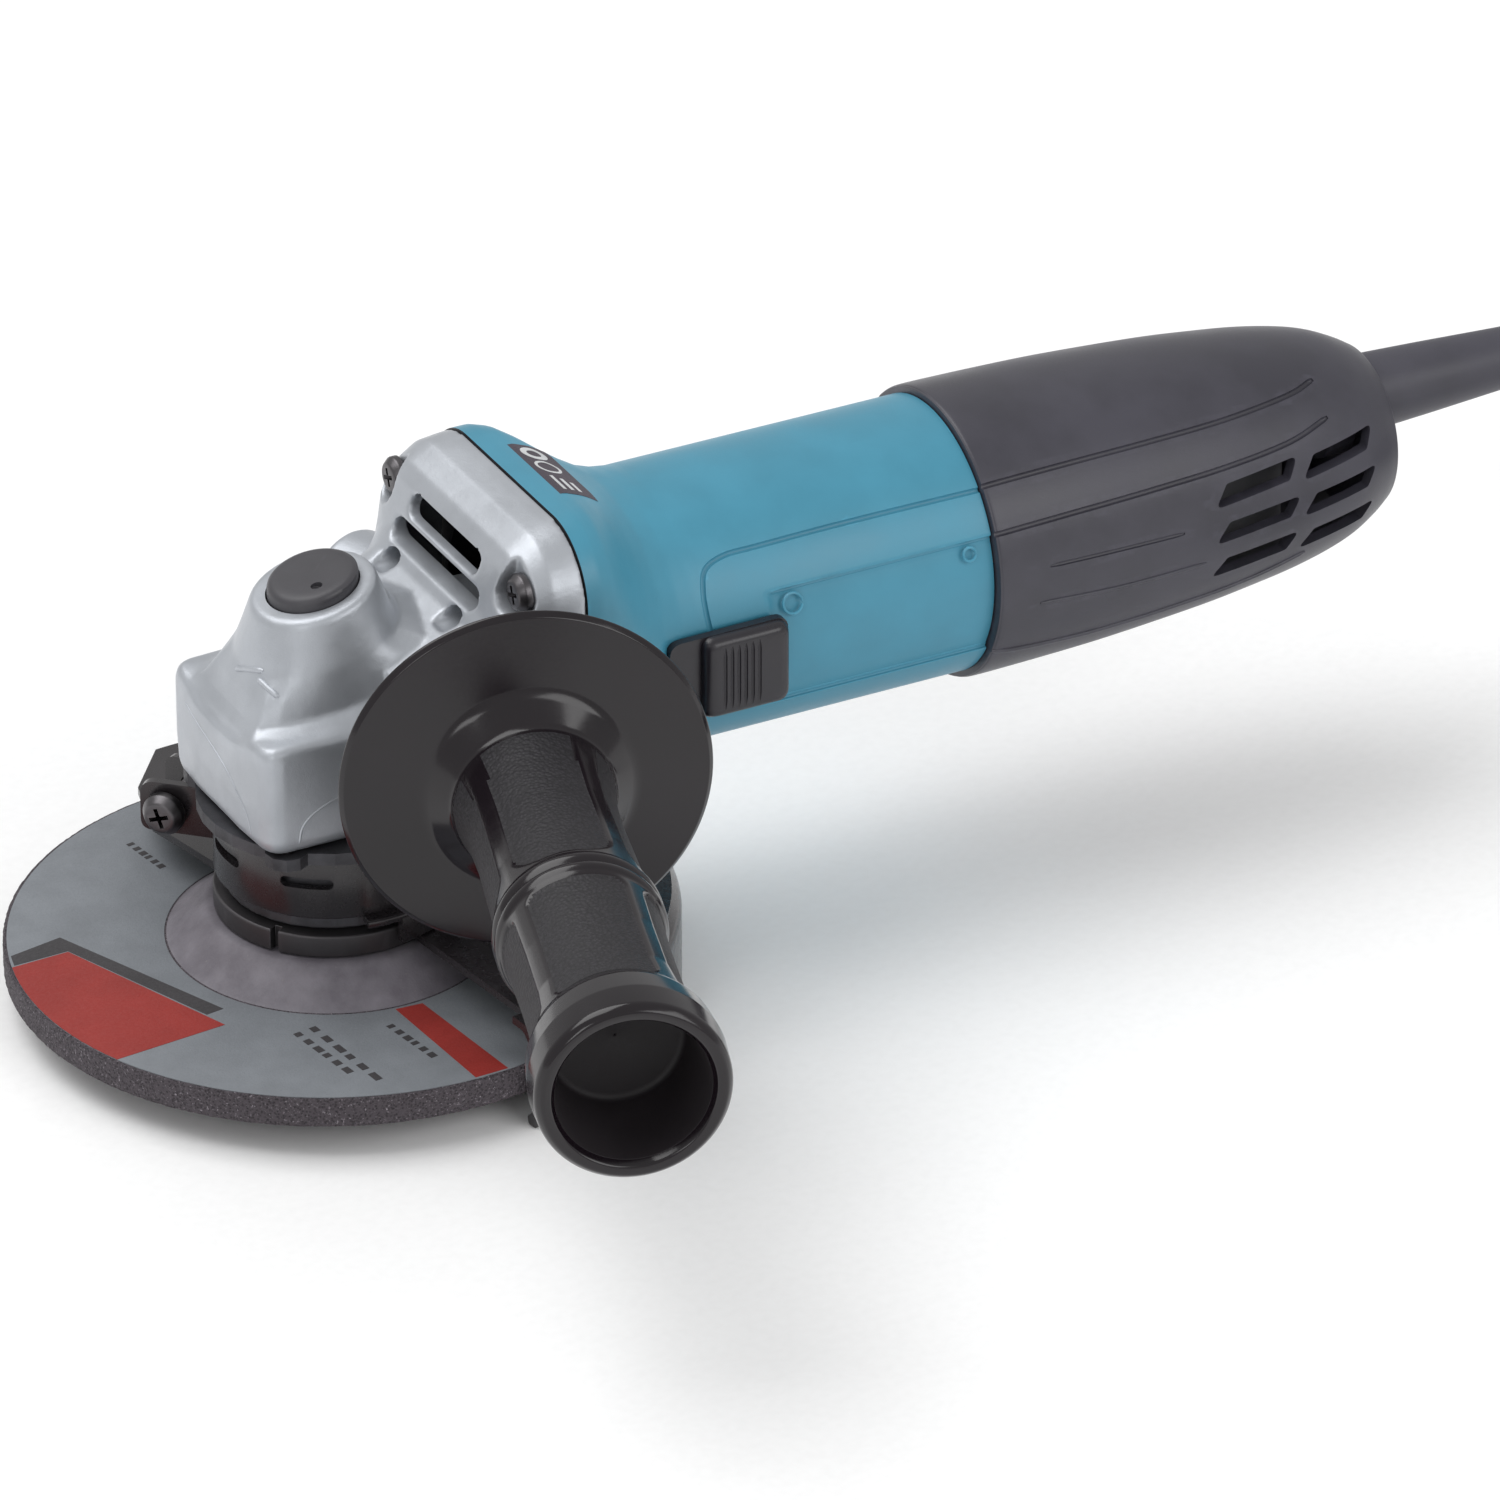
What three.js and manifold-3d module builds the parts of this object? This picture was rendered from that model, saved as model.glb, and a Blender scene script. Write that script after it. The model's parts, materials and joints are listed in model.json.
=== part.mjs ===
// Corded angle grinder for 125 mm discs, as an assembly of its real pieces.
// Millimetres, +Z up. The spindle's axis is X = 0, Y = 0, and the end of the spindle is Z = 0.
// The motor runs back along +X at Z = AXIS_Z. The side handle and the slide switch are on the -Y side.

import * as THREE from 'three';
import { mergeVertices } from 'three/addons/utils/BufferGeometryUtils.js';
import Module from 'manifold-3d';

const wasm = await Module();
wasm.setup();

// ---------------------------------------------------------------- driving dimensions

const GAP = 0.3;
const AXIS_Z = 59;
const DISC_RADIUS = 62.5;
const DISC_THICKNESS = 6;
const DISC_BORE = 11.1;
const HUB_RISE = 6.5;
const FLANGE_RADIUS = 22.5;
const SPINDLE_RADIUS = 7;

const GUARD_RADIUS = 66;
const GUARD_SHEET = 1.6;
const GUARD_TOP = 14.7;
const GUARD_SKIRT_LOW = -6.3;
const COLLAR_RADIUS = 22.3;
const COLLAR_LOW = 21;
const COLLAR_TOP = 33;
const EAR_ANGLE = 128;

const NOSE_LOW = 37.2;
const SEAM_FRONT = 38.4;
const SEAM_REAR = 127.6;
const BARREL_RADIUS = 27.4;
const BARREL_BORE = 25.2;
const TAIL_END = 222.5;
const TAIL_RADIUS = 16.2;
const COVER_SCREW_X = 141;

const WHEEL_TEETH = 37;
const PINION_TEETH = 11;
const CONE_HEEL = 19.3;
const CONE_TOE = 13.3;
const TOOTH_FILL = 0.78;

const BUTTON_X = -2.8;
const PIN_X = -10;
const BUTTON_SLOPE = 0.23;

const HOUSING_SCREWS = [[26, 84], [26, 34], [-26, 84], [-26, 34]];
const RETAINER_RADIUS = 24.7;
const RETAINER_ANGLES = [45, 135, 225, 315];

const HANDLE_TILT = 17.2;
const HANDLE_FACE = [21.1, -34.8];
const HANDLE_FLANGE_RADIUS = 35.3;

const CORD_RADIUS = 4;
const CORD_EXIT = [278, 0, 65.5];
const FLOOR = GUARD_SKIRT_LOW;
const COIL_CENTRE = [415, -52];
const COIL_LOW = FLOOR + 1.5;
const COIL_RADII = [44, 52];
const COIL_LAYERS = 4;

const FINE = 30;
const ROUND = 20;
const SMALL = 10;
const TINY = 8;

const RATIO_ANGLE = Math.atan(PINION_TEETH / WHEEL_TEETH);
const RAD = Math.PI / 180;

// ---------------------------------------------------------------- finishes

const finish = (color, roughness, metalness) => ({ color, roughness, metalness });
const CAST = finish(0xc6cbd0, 0.38, 0.85);
const TEAL = finish(0x2f7f98, 0.42, 0);
const DARK_PLASTIC = finish(0x35343a, 0.55, 0);
const GLOSS_BLACK = finish(0x121114, 0.18, 0);
const BLACK_STEEL = finish(0x1d1c1f, 0.4, 0.5);
const STEEL = finish(0xa9acb0, 0.32, 1);
const DARK_STEEL = finish(0x5a5c60, 0.4, 0.9);
const ABRASIVE = finish(0x4b464b, 0.95, 0);
const COPPER = finish(0xb4683a, 0.35, 0.9);
const BRASS = finish(0xc29a4a, 0.35, 0.9);
const CARBON = finish(0x2a2a2c, 0.8, 0.1);
const NYLON = finish(0x2a2b2f, 0.6, 0);
const CREAM = finish(0xd9d3c0, 0.6, 0);
const RUBBER = finish(0x1b1b1d, 0.75, 0);

// ---------------------------------------------------------------- solids

function faceOutward(geometry) {
  const p = geometry.attributes.position.array;
  const index = geometry.index.array;
  let volume = 0;
  for (let i = 0; i < index.length; i += 3) {
    const [a, b, c] = [index[i] * 3, index[i + 1] * 3, index[i + 2] * 3];
    volume += p[a] * (p[b + 1] * p[c + 2] - p[b + 2] * p[c + 1])
      - p[a + 1] * (p[b] * p[c + 2] - p[b + 2] * p[c])
      + p[a + 2] * (p[b] * p[c + 1] - p[b + 1] * p[c]);
  }
  if (volume < 0) {
    for (let i = 0; i < index.length; i += 3) {
      [index[i + 1], index[i + 2]] = [index[i + 2], index[i + 1]];
    }
  }
  return geometry;
}

function solid(geometry) {
  const plain = geometry.clone();
  plain.deleteAttribute('normal');
  plain.deleteAttribute('uv');
  const merged = faceOutward(mergeVertices(plain, 1e-4));
  const position = new Float32Array(merged.attributes.position.array);
  const triangles = [];
  const index = merged.index.array;
  for (let i = 0; i < index.length; i += 3) {
    const [a, b, c] = [index[i], index[i + 1], index[i + 2]];
    if (a !== b && b !== c && c !== a) triangles.push(a, b, c);
  }
  const triVerts = new Uint32Array(triangles);
  return new wasm.Manifold(new wasm.Mesh({ numProp: 3, vertProperties: position, triVerts }));
}

const join = (first, ...rest) => rest.reduce((sum, next) => sum.add(next), first);
const cut = (body, ...tools) => tools.reduce((left, tool) => left.subtract(tool), body);
const turned = (body, degrees) => body.rotate([0, 0, degrees]);
const mirrored = (body) => body.mirror([0, 1, 0]);

function box(x, y, z) {
  const geometry = new THREE.BoxGeometry(x[1] - x[0], y[1] - y[0], z[1] - z[0]);
  geometry.translate((x[0] + x[1]) / 2, (y[0] + y[1]) / 2, (z[0] + z[1]) / 2);
  return solid(geometry);
}

// A profile of [radius, height] pairs turned round the axis through at. Open ends lie on the axis.
function lathe(profile, axis = 'z', at = [0, 0], segments = ROUND) {
  const closed = profile[0][0] > 0 || profile[profile.length - 1][0] > 0;
  const outline = closed ? [...profile, profile[0]] : profile;
  const points = outline.map(([radius, height]) => new THREE.Vector2(radius, height));
  const geometry = new THREE.LatheGeometry(points, segments);
  if (axis === 'z') geometry.rotateX(Math.PI / 2).translate(at[0], at[1], 0);
  if (axis === 'x') geometry.rotateZ(-Math.PI / 2).translate(0, at[0], at[1]);
  return solid(geometry);
}

const rod = (axis, radius, from, to, at, segments = ROUND) =>
  lathe([[0, from], [radius, from], [radius, to], [0, to]], axis, at, segments);

const ring = (axis, inner, outer, from, to, at, segments = ROUND) =>
  lathe([[inner, from], [outer, from], [outer, to], [inner, to]], axis, at, segments);

// A prism of a shape drawn in X and Y, standing from one height to another.
function prism(shape, low, high, curveSegments = 8) {
  const geometry = new THREE.ExtrudeGeometry(shape, {
    depth: high - low, bevelEnabled: false, curveSegments,
  });
  geometry.translate(0, 0, low);
  return solid(geometry);
}

function slotShape(length, width) {
  const shape = new THREE.Shape();
  const reach = (length - width) / 2;
  shape.moveTo(-reach, -width / 2);
  shape.lineTo(reach, -width / 2);
  shape.absarc(reach, 0, width / 2, -Math.PI / 2, Math.PI / 2, false);
  shape.lineTo(-reach, width / 2);
  shape.absarc(-reach, 0, width / 2, Math.PI / 2, Math.PI * 1.5, false);
  return shape;
}

// A ring's sector between two angles, in degrees.
function sector(inner, outer, from, to, low, high) {
  const shape = new THREE.Shape();
  shape.absarc(0, 0, outer, from * RAD, to * RAD, false);
  shape.absarc(0, 0, inner, to * RAD, from * RAD, true);
  return prism(shape, low, high, Math.max(2, Math.ceil((to - from) / 18)));
}

// A closed skin through rings of points that all have the same count.
function loft(rings) {
  const count = rings[0].length;
  const positions = rings.flat(2);
  const index = [];
  for (let i = 0; i + 1 < rings.length; i += 1) {
    for (let j = 0; j < count; j += 1) {
      const next = (j + 1) % count;
      const [a, b] = [i * count + j, i * count + next];
      index.push(a, b, b + count, a, b + count, a + count);
    }
  }
  for (const [start, flip] of [[0, true], [(rings.length - 1) * count, false]]) {
    for (let j = 1; j + 1 < count; j += 1) {
      if (flip) index.push(start, start + j + 1, start + j);
      else index.push(start, start + j, start + j + 1);
    }
  }
  const geometry = new THREE.BufferGeometry();
  geometry.setAttribute('position', new THREE.BufferAttribute(new Float32Array(positions), 3));
  geometry.setIndex(index);
  return solid(geometry);
}

// The outline of a rectangle with round corners, which is a circle when corner = both half sizes.
function roundedOutline(halfWidth, halfHeight, corner, steps = 8) {
  const points = [];
  for (let quarter = 0; quarter < 4; quarter += 1) {
    for (let i = 0; i < steps; i += 1) {
      const angle = (quarter + (i + 0.5) / steps) * Math.PI / 2;
      const side = [1, -1, -1, 1][quarter];
      const top = [1, 1, -1, -1][quarter];
      points.push([
        side * (halfWidth - corner) + corner * Math.cos(angle),
        top * (halfHeight - corner) + corner * Math.sin(angle),
      ]);
    }
  }
  return points;
}

// A body along X whose sections are [x, half width, middle height, half height, corner].
function alongX(sections, steps = 8) {
  return loft(sections.map(([x, width, middle, height, corner]) =>
    roundedOutline(width, height, corner, steps).map(([y, z]) => [x, y, middle + z])));
}

// A body round the motor's axis whose sections are [x, radius].
const roundBody = (sections, segments = FINE) => lathe(
  [[0, sections[0][0]], ...sections.map(([x, radius]) => [radius, x]), [0, sections.at(-1)[0]]],
  'x', [0, AXIS_Z], segments);

// Everything above the plane z = height + slope * (x - x0).
function above(x0, height, slope) {
  const slab = box([-90, 90], [-90, 90], [0, 90]);
  return slab.rotate([0, -Math.atan(slope) / RAD, 0]).translate([x0, 0, height]);
}

// A coil spring of round wire between two heights on the Z axis.
function spring(radius, wire, low, high, turns) {
  const points = [];
  const steps = turns * 8;
  for (let i = 0; i <= steps; i += 1) {
    const angle = i * Math.PI / 4;
    const height = low + wire + (high - low - 2 * wire) * i / steps;
    points.push(new THREE.Vector3(radius * Math.cos(angle), radius * Math.sin(angle), height));
  }
  return tube(points, wire, 5, steps);
}

function tube(points, radius, sides, steps) {
  const section = new THREE.Shape();
  for (let i = 0; i < sides; i += 1) {
    const angle = (i + 0.5) * 2 * Math.PI / sides;
    const corner = [radius * Math.cos(angle), radius * Math.sin(angle)];
    if (i === 0) section.moveTo(...corner);
    else section.lineTo(...corner);
  }
  const extrudePath = new THREE.CatmullRomCurve3(points);
  return solid(new THREE.ExtrudeGeometry(section, { steps, bevelEnabled: false, extrudePath }));
}

// A pan-head screw that points down -Z from a head resting at height zero.
function panScrew(shank, length, head, headHeight) {
  const body = lathe([
    [0, -length], [shank * 0.7, -length], [shank, -length + shank * 0.6], [shank, 0],
    [head, 0], [head, headHeight * 0.6], [head * 0.7, headHeight], [0, headHeight],
  ], 'z', [0, 0], SMALL);
  const blade = [box([-head * 0.6, head * 0.6], [-0.4, 0.4], [headHeight * 0.35, headHeight + 1])];
  blade.push(turned(blade[0], 90));
  return cut(body, ...blade);
}

// ---------------------------------------------------------------- assembly

const grinder = new THREE.Group();
grinder.name = 'angle_grinder';

function place(name, body, look, parent = grinder) {
  const { vertProperties, triVerts } = body.getMesh();
  const geometry = new THREE.BufferGeometry();
  geometry.setAttribute('position', new THREE.BufferAttribute(new Float32Array(vertProperties), 3));
  geometry.setIndex(new THREE.BufferAttribute(new Uint32Array(triVerts), 1));
  geometry.computeVertexNormals();
  const mesh = new THREE.Mesh(geometry, new THREE.MeshStandardMaterial(look));
  mesh.name = name;
  parent.add(mesh);
  return mesh;
}

// ---------------------------------------------------------------- spindle, disc and bevel gears

function makeSpindle() {
  place('spindle', lathe([
    [0, 0], [SPINDLE_RADIUS - 1, 0], [SPINDLE_RADIUS, 1], [SPINDLE_RADIUS, 17.6], [8.9, 17.6],
    [8.9, 23.1], [6, 23.1], [6, 55.6], [4.4, 56.2], [4.4, 68], [0, 68],
  ], 'z', [0, 0], ROUND), STEEL);

  const notch = box([FLANGE_RADIUS - 2, FLANGE_RADIUS + 2], [-0.9, 0.9], [12, 18]);
  const innerFlange = lathe([
    [7.3, 9.4], [10.8, 9.4], [10.8, 12.8], [FLANGE_RADIUS, 12.8], [FLANGE_RADIUS, 17],
    [FLANGE_RADIUS - 0.5, 17.3], [7.3, 17.3],
  ], 'z', [0, 0], FINE);
  place('inner_flange', cut(innerFlange, turned(notch, 215), turned(notch, 35)), DARK_STEEL);

  const hole = rod('z', 2.3, 0, 5, [11.4, 0], 12);
  const nut = lathe([
    [7.3, 0.6], [14.6, 0.6], [15.2, 1.2], [15.2, 6.2], [10.8, 6.2], [10.8, 9.1], [7.3, 9.1],
  ], 'z', [0, 0], ROUND);
  place('lock_nut', cut(nut, hole, turned(hole, 180)), DARK_STEEL);

  const top = DISC_THICKNESS;
  place('grinding_disc', lathe([
    [DISC_BORE, HUB_RISE], [19, HUB_RISE], [29, 0], [DISC_RADIUS, 0], [DISC_RADIUS, top - 0.4],
    [DISC_RADIUS - 0.5, top], [31.6, top], [24, top + HUB_RISE], [DISC_BORE, top + HUB_RISE],
  ], 'z', [0, 0], 48), ABRASIVE);

  place('spindle_bearing', cut(
    ring('z', 6.15, 15.8, 23.4, 33.4, [0, 0], ROUND),
    ring('z', 8.6, 13.4, 32.6, 34, [0, 0], ROUND)), STEEL);
  place('spindle_top_bush', ring('z', 4.6, 6.5, 61, 69, [0, 0], 24), BRASS);
  place('gear_snap_ring', cut(
    ring('z', 6.2, 8, 54.3, 55.2, [0, 0], 24),
    box([4, 9], [-1.2, 1.2], [54, 56])), STEEL);
}

// Straight teeth on a cone whose tip is where the two gear axes cross.
// The cone's axis is +Z here, its tip is the origin and it opens upward.
function coneTeeth(teeth, coneAngle, phase) {
  const edge = (distance) => {
    const module = 2 * distance * Math.sin(coneAngle) / teeth;
    const half = Math.PI * module / 4 * TOOTH_FILL;
    const lean = Math.tan(20 * RAD);
    return [[-1.05, half + 1.05 * module * lean], [0.45, half - 0.45 * module * lean]]
      .flatMap(([rise, width]) => [[rise, -width], [rise, width]])
      .map(([rise, side]) => [
        distance * Math.sin(coneAngle) + rise * module * Math.cos(coneAngle),
        side,
        distance * Math.cos(coneAngle) - rise * module * Math.sin(coneAngle),
      ]);
  };
  const order = ([a, b, c, d]) => [a, b, d, c];
  const tooth = loft([order(edge(CONE_TOE)), order(edge(CONE_HEEL))]);
  return Array.from({ length: teeth }, (_, i) => turned(tooth, (i + phase) * 360 / teeth));
}

function makeBevelGears() {
  const wheelAngle = Math.PI / 2 - RATIO_ANGLE;
  const wheelTeeth = coneTeeth(WHEEL_TEETH, wheelAngle, 0.5)
    .map((tooth) => tooth.rotate([180, 0, 0]).translate([0, 0, AXIS_Z]));
  const body = lathe([
    [6.2, 33.9], [9.6, 33.9], [9.6, 43], [19, 46], [19.2, 50.6], [18.3, 53],
    [12.6, 54.8], [12.6, 50.4], [8.2, 50.4], [8.2, 54], [6.2, 54],
  ], 'z', [0, 0], ROUND);
  const pocket = rod('z', 2.5, 46.2, 52, [PIN_X, 0], TINY);
  const pockets = [0, 90, 180, 270].map((angle) => turned(pocket, angle));
  place('large_bevel_gear', cut(join(body, ...wheelTeeth), ...pockets), DARK_STEEL);

  const coreProfile = [
    [2.25, 12.9], [3.2, 12.9], [4.75, 18.4], [4.75, 18.8], [6.4, 19],
    [6.4, 21], [4.9, 21.3], [4.9, 24.6], [2.25, 24.6],
  ];
  const pinionTeeth = coneTeeth(PINION_TEETH, RATIO_ANGLE, 0)
    .map((tooth) => tooth.rotate([0, 90, 0]).translate([0, 0, AXIS_Z]));
  const core = lathe(coreProfile, 'x', [0, AXIS_Z], SMALL);
  const bore = rod('x', 2.25, 8, 26, [0, AXIS_Z], SMALL);
  place('pinion_gear', cut(join(core, ...pinionTeeth), bore), DARK_STEEL);
  place('pinion_nut', lathe([
    [2.5, 10.4], [3.4, 10.4], [3.4, 12.3], [2.5, 12.3],
  ], 'x', [0, AXIS_Z], 6), STEEL);
}

// ---------------------------------------------------------------- guard

function makeGuard() {
  const inner = GUARD_RADIUS - GUARD_SHEET;
  const plate = new THREE.Shape();
  plate.moveTo(inner * Math.cos(-86 * RAD), inner * Math.sin(-86 * RAD));
  plate.lineTo(9.6, -57);
  plate.lineTo(7, -24);
  plate.absarc(0, 0, 23.4, -73 * RAD, 130 * RAD, false);
  plate.lineTo(-19.5, 38);
  plate.lineTo(-16, 52);
  plate.absarc(0, 0, inner, 96 * RAD, -86 * RAD, true);
  const sheet = prism(plate, GUARD_TOP - GUARD_SHEET, GUARD_TOP, 22);
  const bend = GUARD_TOP - 2.4;
  const rim = lathe([
    [inner - 3, GUARD_TOP - GUARD_SHEET], [inner, bend - 0.6], [inner, GUARD_SKIRT_LOW + 1.4],
    [inner - 1.6, GUARD_SKIRT_LOW + 0.6], [inner - 1.6, GUARD_SKIRT_LOW],
    [GUARD_RADIUS, GUARD_SKIRT_LOW], [GUARD_RADIUS, bend], [GUARD_RADIUS - 2.4, GUARD_TOP],
    [inner - 3, GUARD_TOP],
  ], 'z', [0, 0], 44);
  const open = sector(10, 90, 96, 274, -20, 30);
  place('wheel_guard', join(sheet, cut(rim, open)), BLACK_STEEL);

  const inside = COLLAR_RADIUS - GUARD_SHEET;
  const band = ring('z', inside, COLLAR_RADIUS, COLLAR_LOW, COLLAR_TOP, [0, 0], FINE);
  const shelf = sector(COLLAR_RADIUS - 1, 25, -100, 112, 19.6, 21.4);
  const skirt = sector(23.4, 25, -84, 108, GUARD_TOP + GAP, 20);
  const gap = sector(15, 30, EAR_ANGLE - 8, EAR_ANGLE + 8, 15, 40);
  const ear = box([21, 37.5], [-GUARD_SHEET / 2, GUARD_SHEET / 2], [22.5, COLLAR_TOP]);
  const ears = [-8.5, 8.5].map((offset) => turned(ear, EAR_ANGLE + offset));
  const slot = box([-30, -15], [-3.2, 3.2], [27.5, 29.5]);
  const collar = join(cut(join(band, shelf, skirt), gap), ...ears);
  const throat = rod('z', inside, 10, 40, [0, 0], FINE);
  const bolt = rod('x', 2.3, -20, 20, [0, 0], 12).rotate([0, 0, 90]);
  const boltHole = turned(bolt.translate([31.5, 0, 27.5]), EAR_ANGLE);
  place('guard_collar', cut(collar, throat, turned(slot, -12), boltHole), BLACK_STEEL);

  const screw = panScrew(2, 16, 4.2, 3.2).rotate([-90, 0, 0]).translate([31.5, 6.4, 27.5]);
  place('guard_clamp_screw', turned(screw, EAR_ANGLE), DARK_STEEL);
  const nut = lathe([[2.5, 0], [4.2, 0], [4.2, 3], [2.5, 3]], 'z', [0, 0], 6)
    .rotate([90, 0, 0]).translate([31.5, -6.4, 27.5]);
  place('guard_clamp_nut', turned(nut, EAR_ANGLE), STEEL);
}

// ---------------------------------------------------------------- gear housing

// The direction from the body out along the side handle on the -Y side.
const HANDLE_DIRECTION = [-Math.sin(HANDLE_TILT * RAD), -Math.cos(HANDLE_TILT * RAD)];

// A solid turned round the handle's axis. Heights count outward from the boss face.
const onHandleAxis = (profile, segments = ROUND) => lathe(profile, 'z', [0, 0], segments)
  .rotate([90, 0, 0])
  .rotate([0, 0, -HANDLE_TILT])
  .translate([HANDLE_FACE[0], HANDLE_FACE[1], AXIS_Z]);

// Half outlines in plan, from the front round to the back: the nose's wall, and the foot of the
// hill that carries the lock button.
const NOSE_PLAN = [[-23.9, 9], [-23, 17.6], [-22.2, 19.8], [-19.8, 21], [-6, 21.6], [2, 22.6],
  [10, 23.6], [24, 25.5]];
const HILL_PLAN = [[-20.6, 12], [-16.7, 14], [-12.5, 15], [-7, 16], [-1, 17], [8, 19], [24, 22]];
const NOSE_DIRECTIONS = [0, 25, 45, 62, 78, 94, 112, 126, 134, 141, 148, 158, 169, 180];

// How far a ray from the button's axis runs before it meets a mirrored half outline.
function reach(plan, degrees) {
  const [along, across] = [Math.cos(degrees * RAD), Math.sin(degrees * RAD)];
  const points = [[plan[0][0], 0], ...plan, [plan.at(-1)[0], 0]].map(([x, y]) => [x - BUTTON_X, y]);
  const hits = points.slice(1).map(([bx, by], i) => {
    const [ax, ay] = points[i];
    const across0 = ay * along - ax * across;
    const across1 = by * along - bx * across;
    if (across0 * across1 > 0 || across0 === across1) return 0;
    const share = across0 / (across0 - across1);
    return (ax + share * (bx - ax)) * along + (ay + share * (by - ay)) * across;
  });
  return Math.max(...hits);
}

// Reads a table of [degrees, value] between its entries.
function keyed(table, degrees) {
  const i = Math.max(1, table.findIndex(([key]) => key >= degrees));
  const [[a, low], [b, high]] = [table[i - 1], table[i]];
  return low + (high - low) * (degrees - a) / (b - a);
}

// The nose and its hill, as rings of points at the same directions from the button's axis.
function makeNose() {
  const halves = NOSE_DIRECTIONS.slice(1, -1);
  const directions = [...NOSE_DIRECTIONS, ...halves.map((angle) => -angle).reverse()];
  const ringOf = (radiusAt, heightAt) => directions.map((angle) => {
    const radius = radiusAt(Math.abs(angle));
    const x = BUTTON_X + radius * Math.cos(angle * RAD);
    return [x, radius * Math.sin(angle * RAD), heightAt(Math.abs(angle), x)];
  });
  const wall = (angle) => reach(NOSE_PLAN, angle);
  const hill = (angle) => reach(HILL_PLAN, angle);
  const edge = (angle) => keyed([[0, 64], [60, 61], [95, 60], [134, 59.6], [155, 57.4], [180, 56.8]], angle);
  const foot = (angle) => keyed([[0, 72], [60, 66], [95, 63], [140, 61], [180, 60.2]], angle);
  const top = (angle) => keyed([[0, 76.5], [90, 75.6], [134, 73.4], [180, 71.6]], angle);
  const lip = (angle, x) => 80.8 + BUTTON_SLOPE * (x - BUTTON_X);
  return loft([
    ringOf((angle) => wall(angle) - 2.2, () => NOSE_LOW),
    ringOf((angle) => wall(angle) - 0.4, () => NOSE_LOW + 2.3),
    ringOf(wall, (angle) => edge(angle) - 2.2),
    ringOf((angle) => wall(angle) - 1.2, edge),
    ringOf(hill, foot),
    ringOf((angle) => 6.6 + 0.52 * hill(angle), (angle) => (foot(angle) + top(angle)) / 2 + 0.6),
    ringOf(() => 13.4, top),
    ringOf(() => 11.9, (angle, x) => lip(angle, x) - 1.2),
    ringOf(() => 11.2, lip),
  ]);
}

function makeGearHousing() {
  const throat = alongX([
    [6, 22.5, 55, 15, 8], [16.5, 24, 55.8, 17.6, 8], [20, 24.4, 56.4, 18.6, 8.5],
    [23.4, 26, 58.6, 21.4, 9], [25, 28.6, 61.3, 24.2, 10], [27.4, 31, 63.3, 26.2, 12],
    [30, 31.5, 58.6, 33, 13], [35, 31.9, AXIS_Z, 34.4, 14], [SEAM_FRONT - GAP, 32, AXIS_Z, 34.6, 14],
  ], 5);
  const shell = join(makeNose(), throat);

  const gearRoom = lathe([[0, 30], [20.4, 30], [20.4, 54.6], [17, 56.6], [5.4, 56.6], [5.4, 61],
    [6.7, 61], [6.7, 69.4], [0, 69.4]], 'z', [0, 0], ROUND);
  const pinionRoom = rod('x', 7.4, 8.4, 21.6, [0, AXIS_Z]);
  const bearingRoom = lathe([[0, 21], [6.9, 21], [6.9, 24.9], [11.1, 24.9], [11.1, 45], [0, 45]],
    'x', [0, AXIS_Z]);
  const airRoom = cut(alongX([
    [25.2, 23.5, 60.6, 20, 9], [27.8, 27.6, 62.4, 24.4, 11],
    [31.4, 28.4, AXIS_Z, 30.4, 12], [36, 28.6, AXIS_Z, 31.2, 12], [45, 28.6, AXIS_Z, 31.2, 12],
  ], 4), rod('x', 14, 10, 60, [0, AXIS_Z]));
  const cornerPosts = HOUSING_SCREWS.map((at) => rod('x', 5, 26, SEAM_FRONT - GAP, at, SMALL));
  const handleBoss = cut(
    onHandleAxis([[0, -17], [10.6, -17], [10.6, -1], [9.6, 0], [0, 0]]),
    rod('x', 14, 0, 60, [0, AXIS_Z]));

  const buttonWell = rod('z', 8.9, 73, 90, [BUTTON_X, 0]);
  const springWell = rod('z', 3.6, 68.2, 77.2, [PIN_X, 0], SMALL);
  const pinHole = rod('z', 2.15, 54, 70, [PIN_X, 0], SMALL);
  const vents = [[84.6, 29, 4.4], [78.8, 36, 4.2]].map(([z, length, width]) =>
    prism(slotShape(length, width), 14, 29, 3).rotate([0, 90, 0]).rotate([90, 0, 0])
      .translate([0, 0, z]));
  const smallVents = [12.9, -12.9].map((y) => rod('x', 1.9, 16, 29, [y, 74.4], TINY));
  const screwHoles = HOUSING_SCREWS.map((at) => join(
    rod('x', 2.2, 20, 45, at, TINY), rod('x', 4.2, 10, 28.6, at, SMALL)));
  const handleHole = onHandleAxis([[0, -13], [4.2, -13], [4.2, 3], [0, 3]], SMALL);
  const retainerHoles = RETAINER_ANGLES.map((angle) =>
    turned(rod('z', 2, 34, 46, [RETAINER_RADIUS, 0], TINY), angle));

  const hollow = cut(shell, airRoom);
  const whole = join(hollow, ...cornerPosts, handleBoss, mirrored(handleBoss));
  place('gear_housing', cut(whole, gearRoom, pinionRoom, bearingRoom, buttonWell, springWell,
    pinHole, ...vents, ...smallVents, ...screwHoles, handleHole, mirrored(handleHole),
    ...retainerHoles), CAST);

  HOUSING_SCREWS.forEach(([y, z], i) => {
    const screw = panScrew(1.9, 16.4, 3.8, 2.6).rotate([0, -90, 0]).translate([28.3, y, z]);
    place(`housing_screw_${i + 1}`, screw, BLACK_STEEL);
  });

  makeBearingBox();
}

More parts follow.
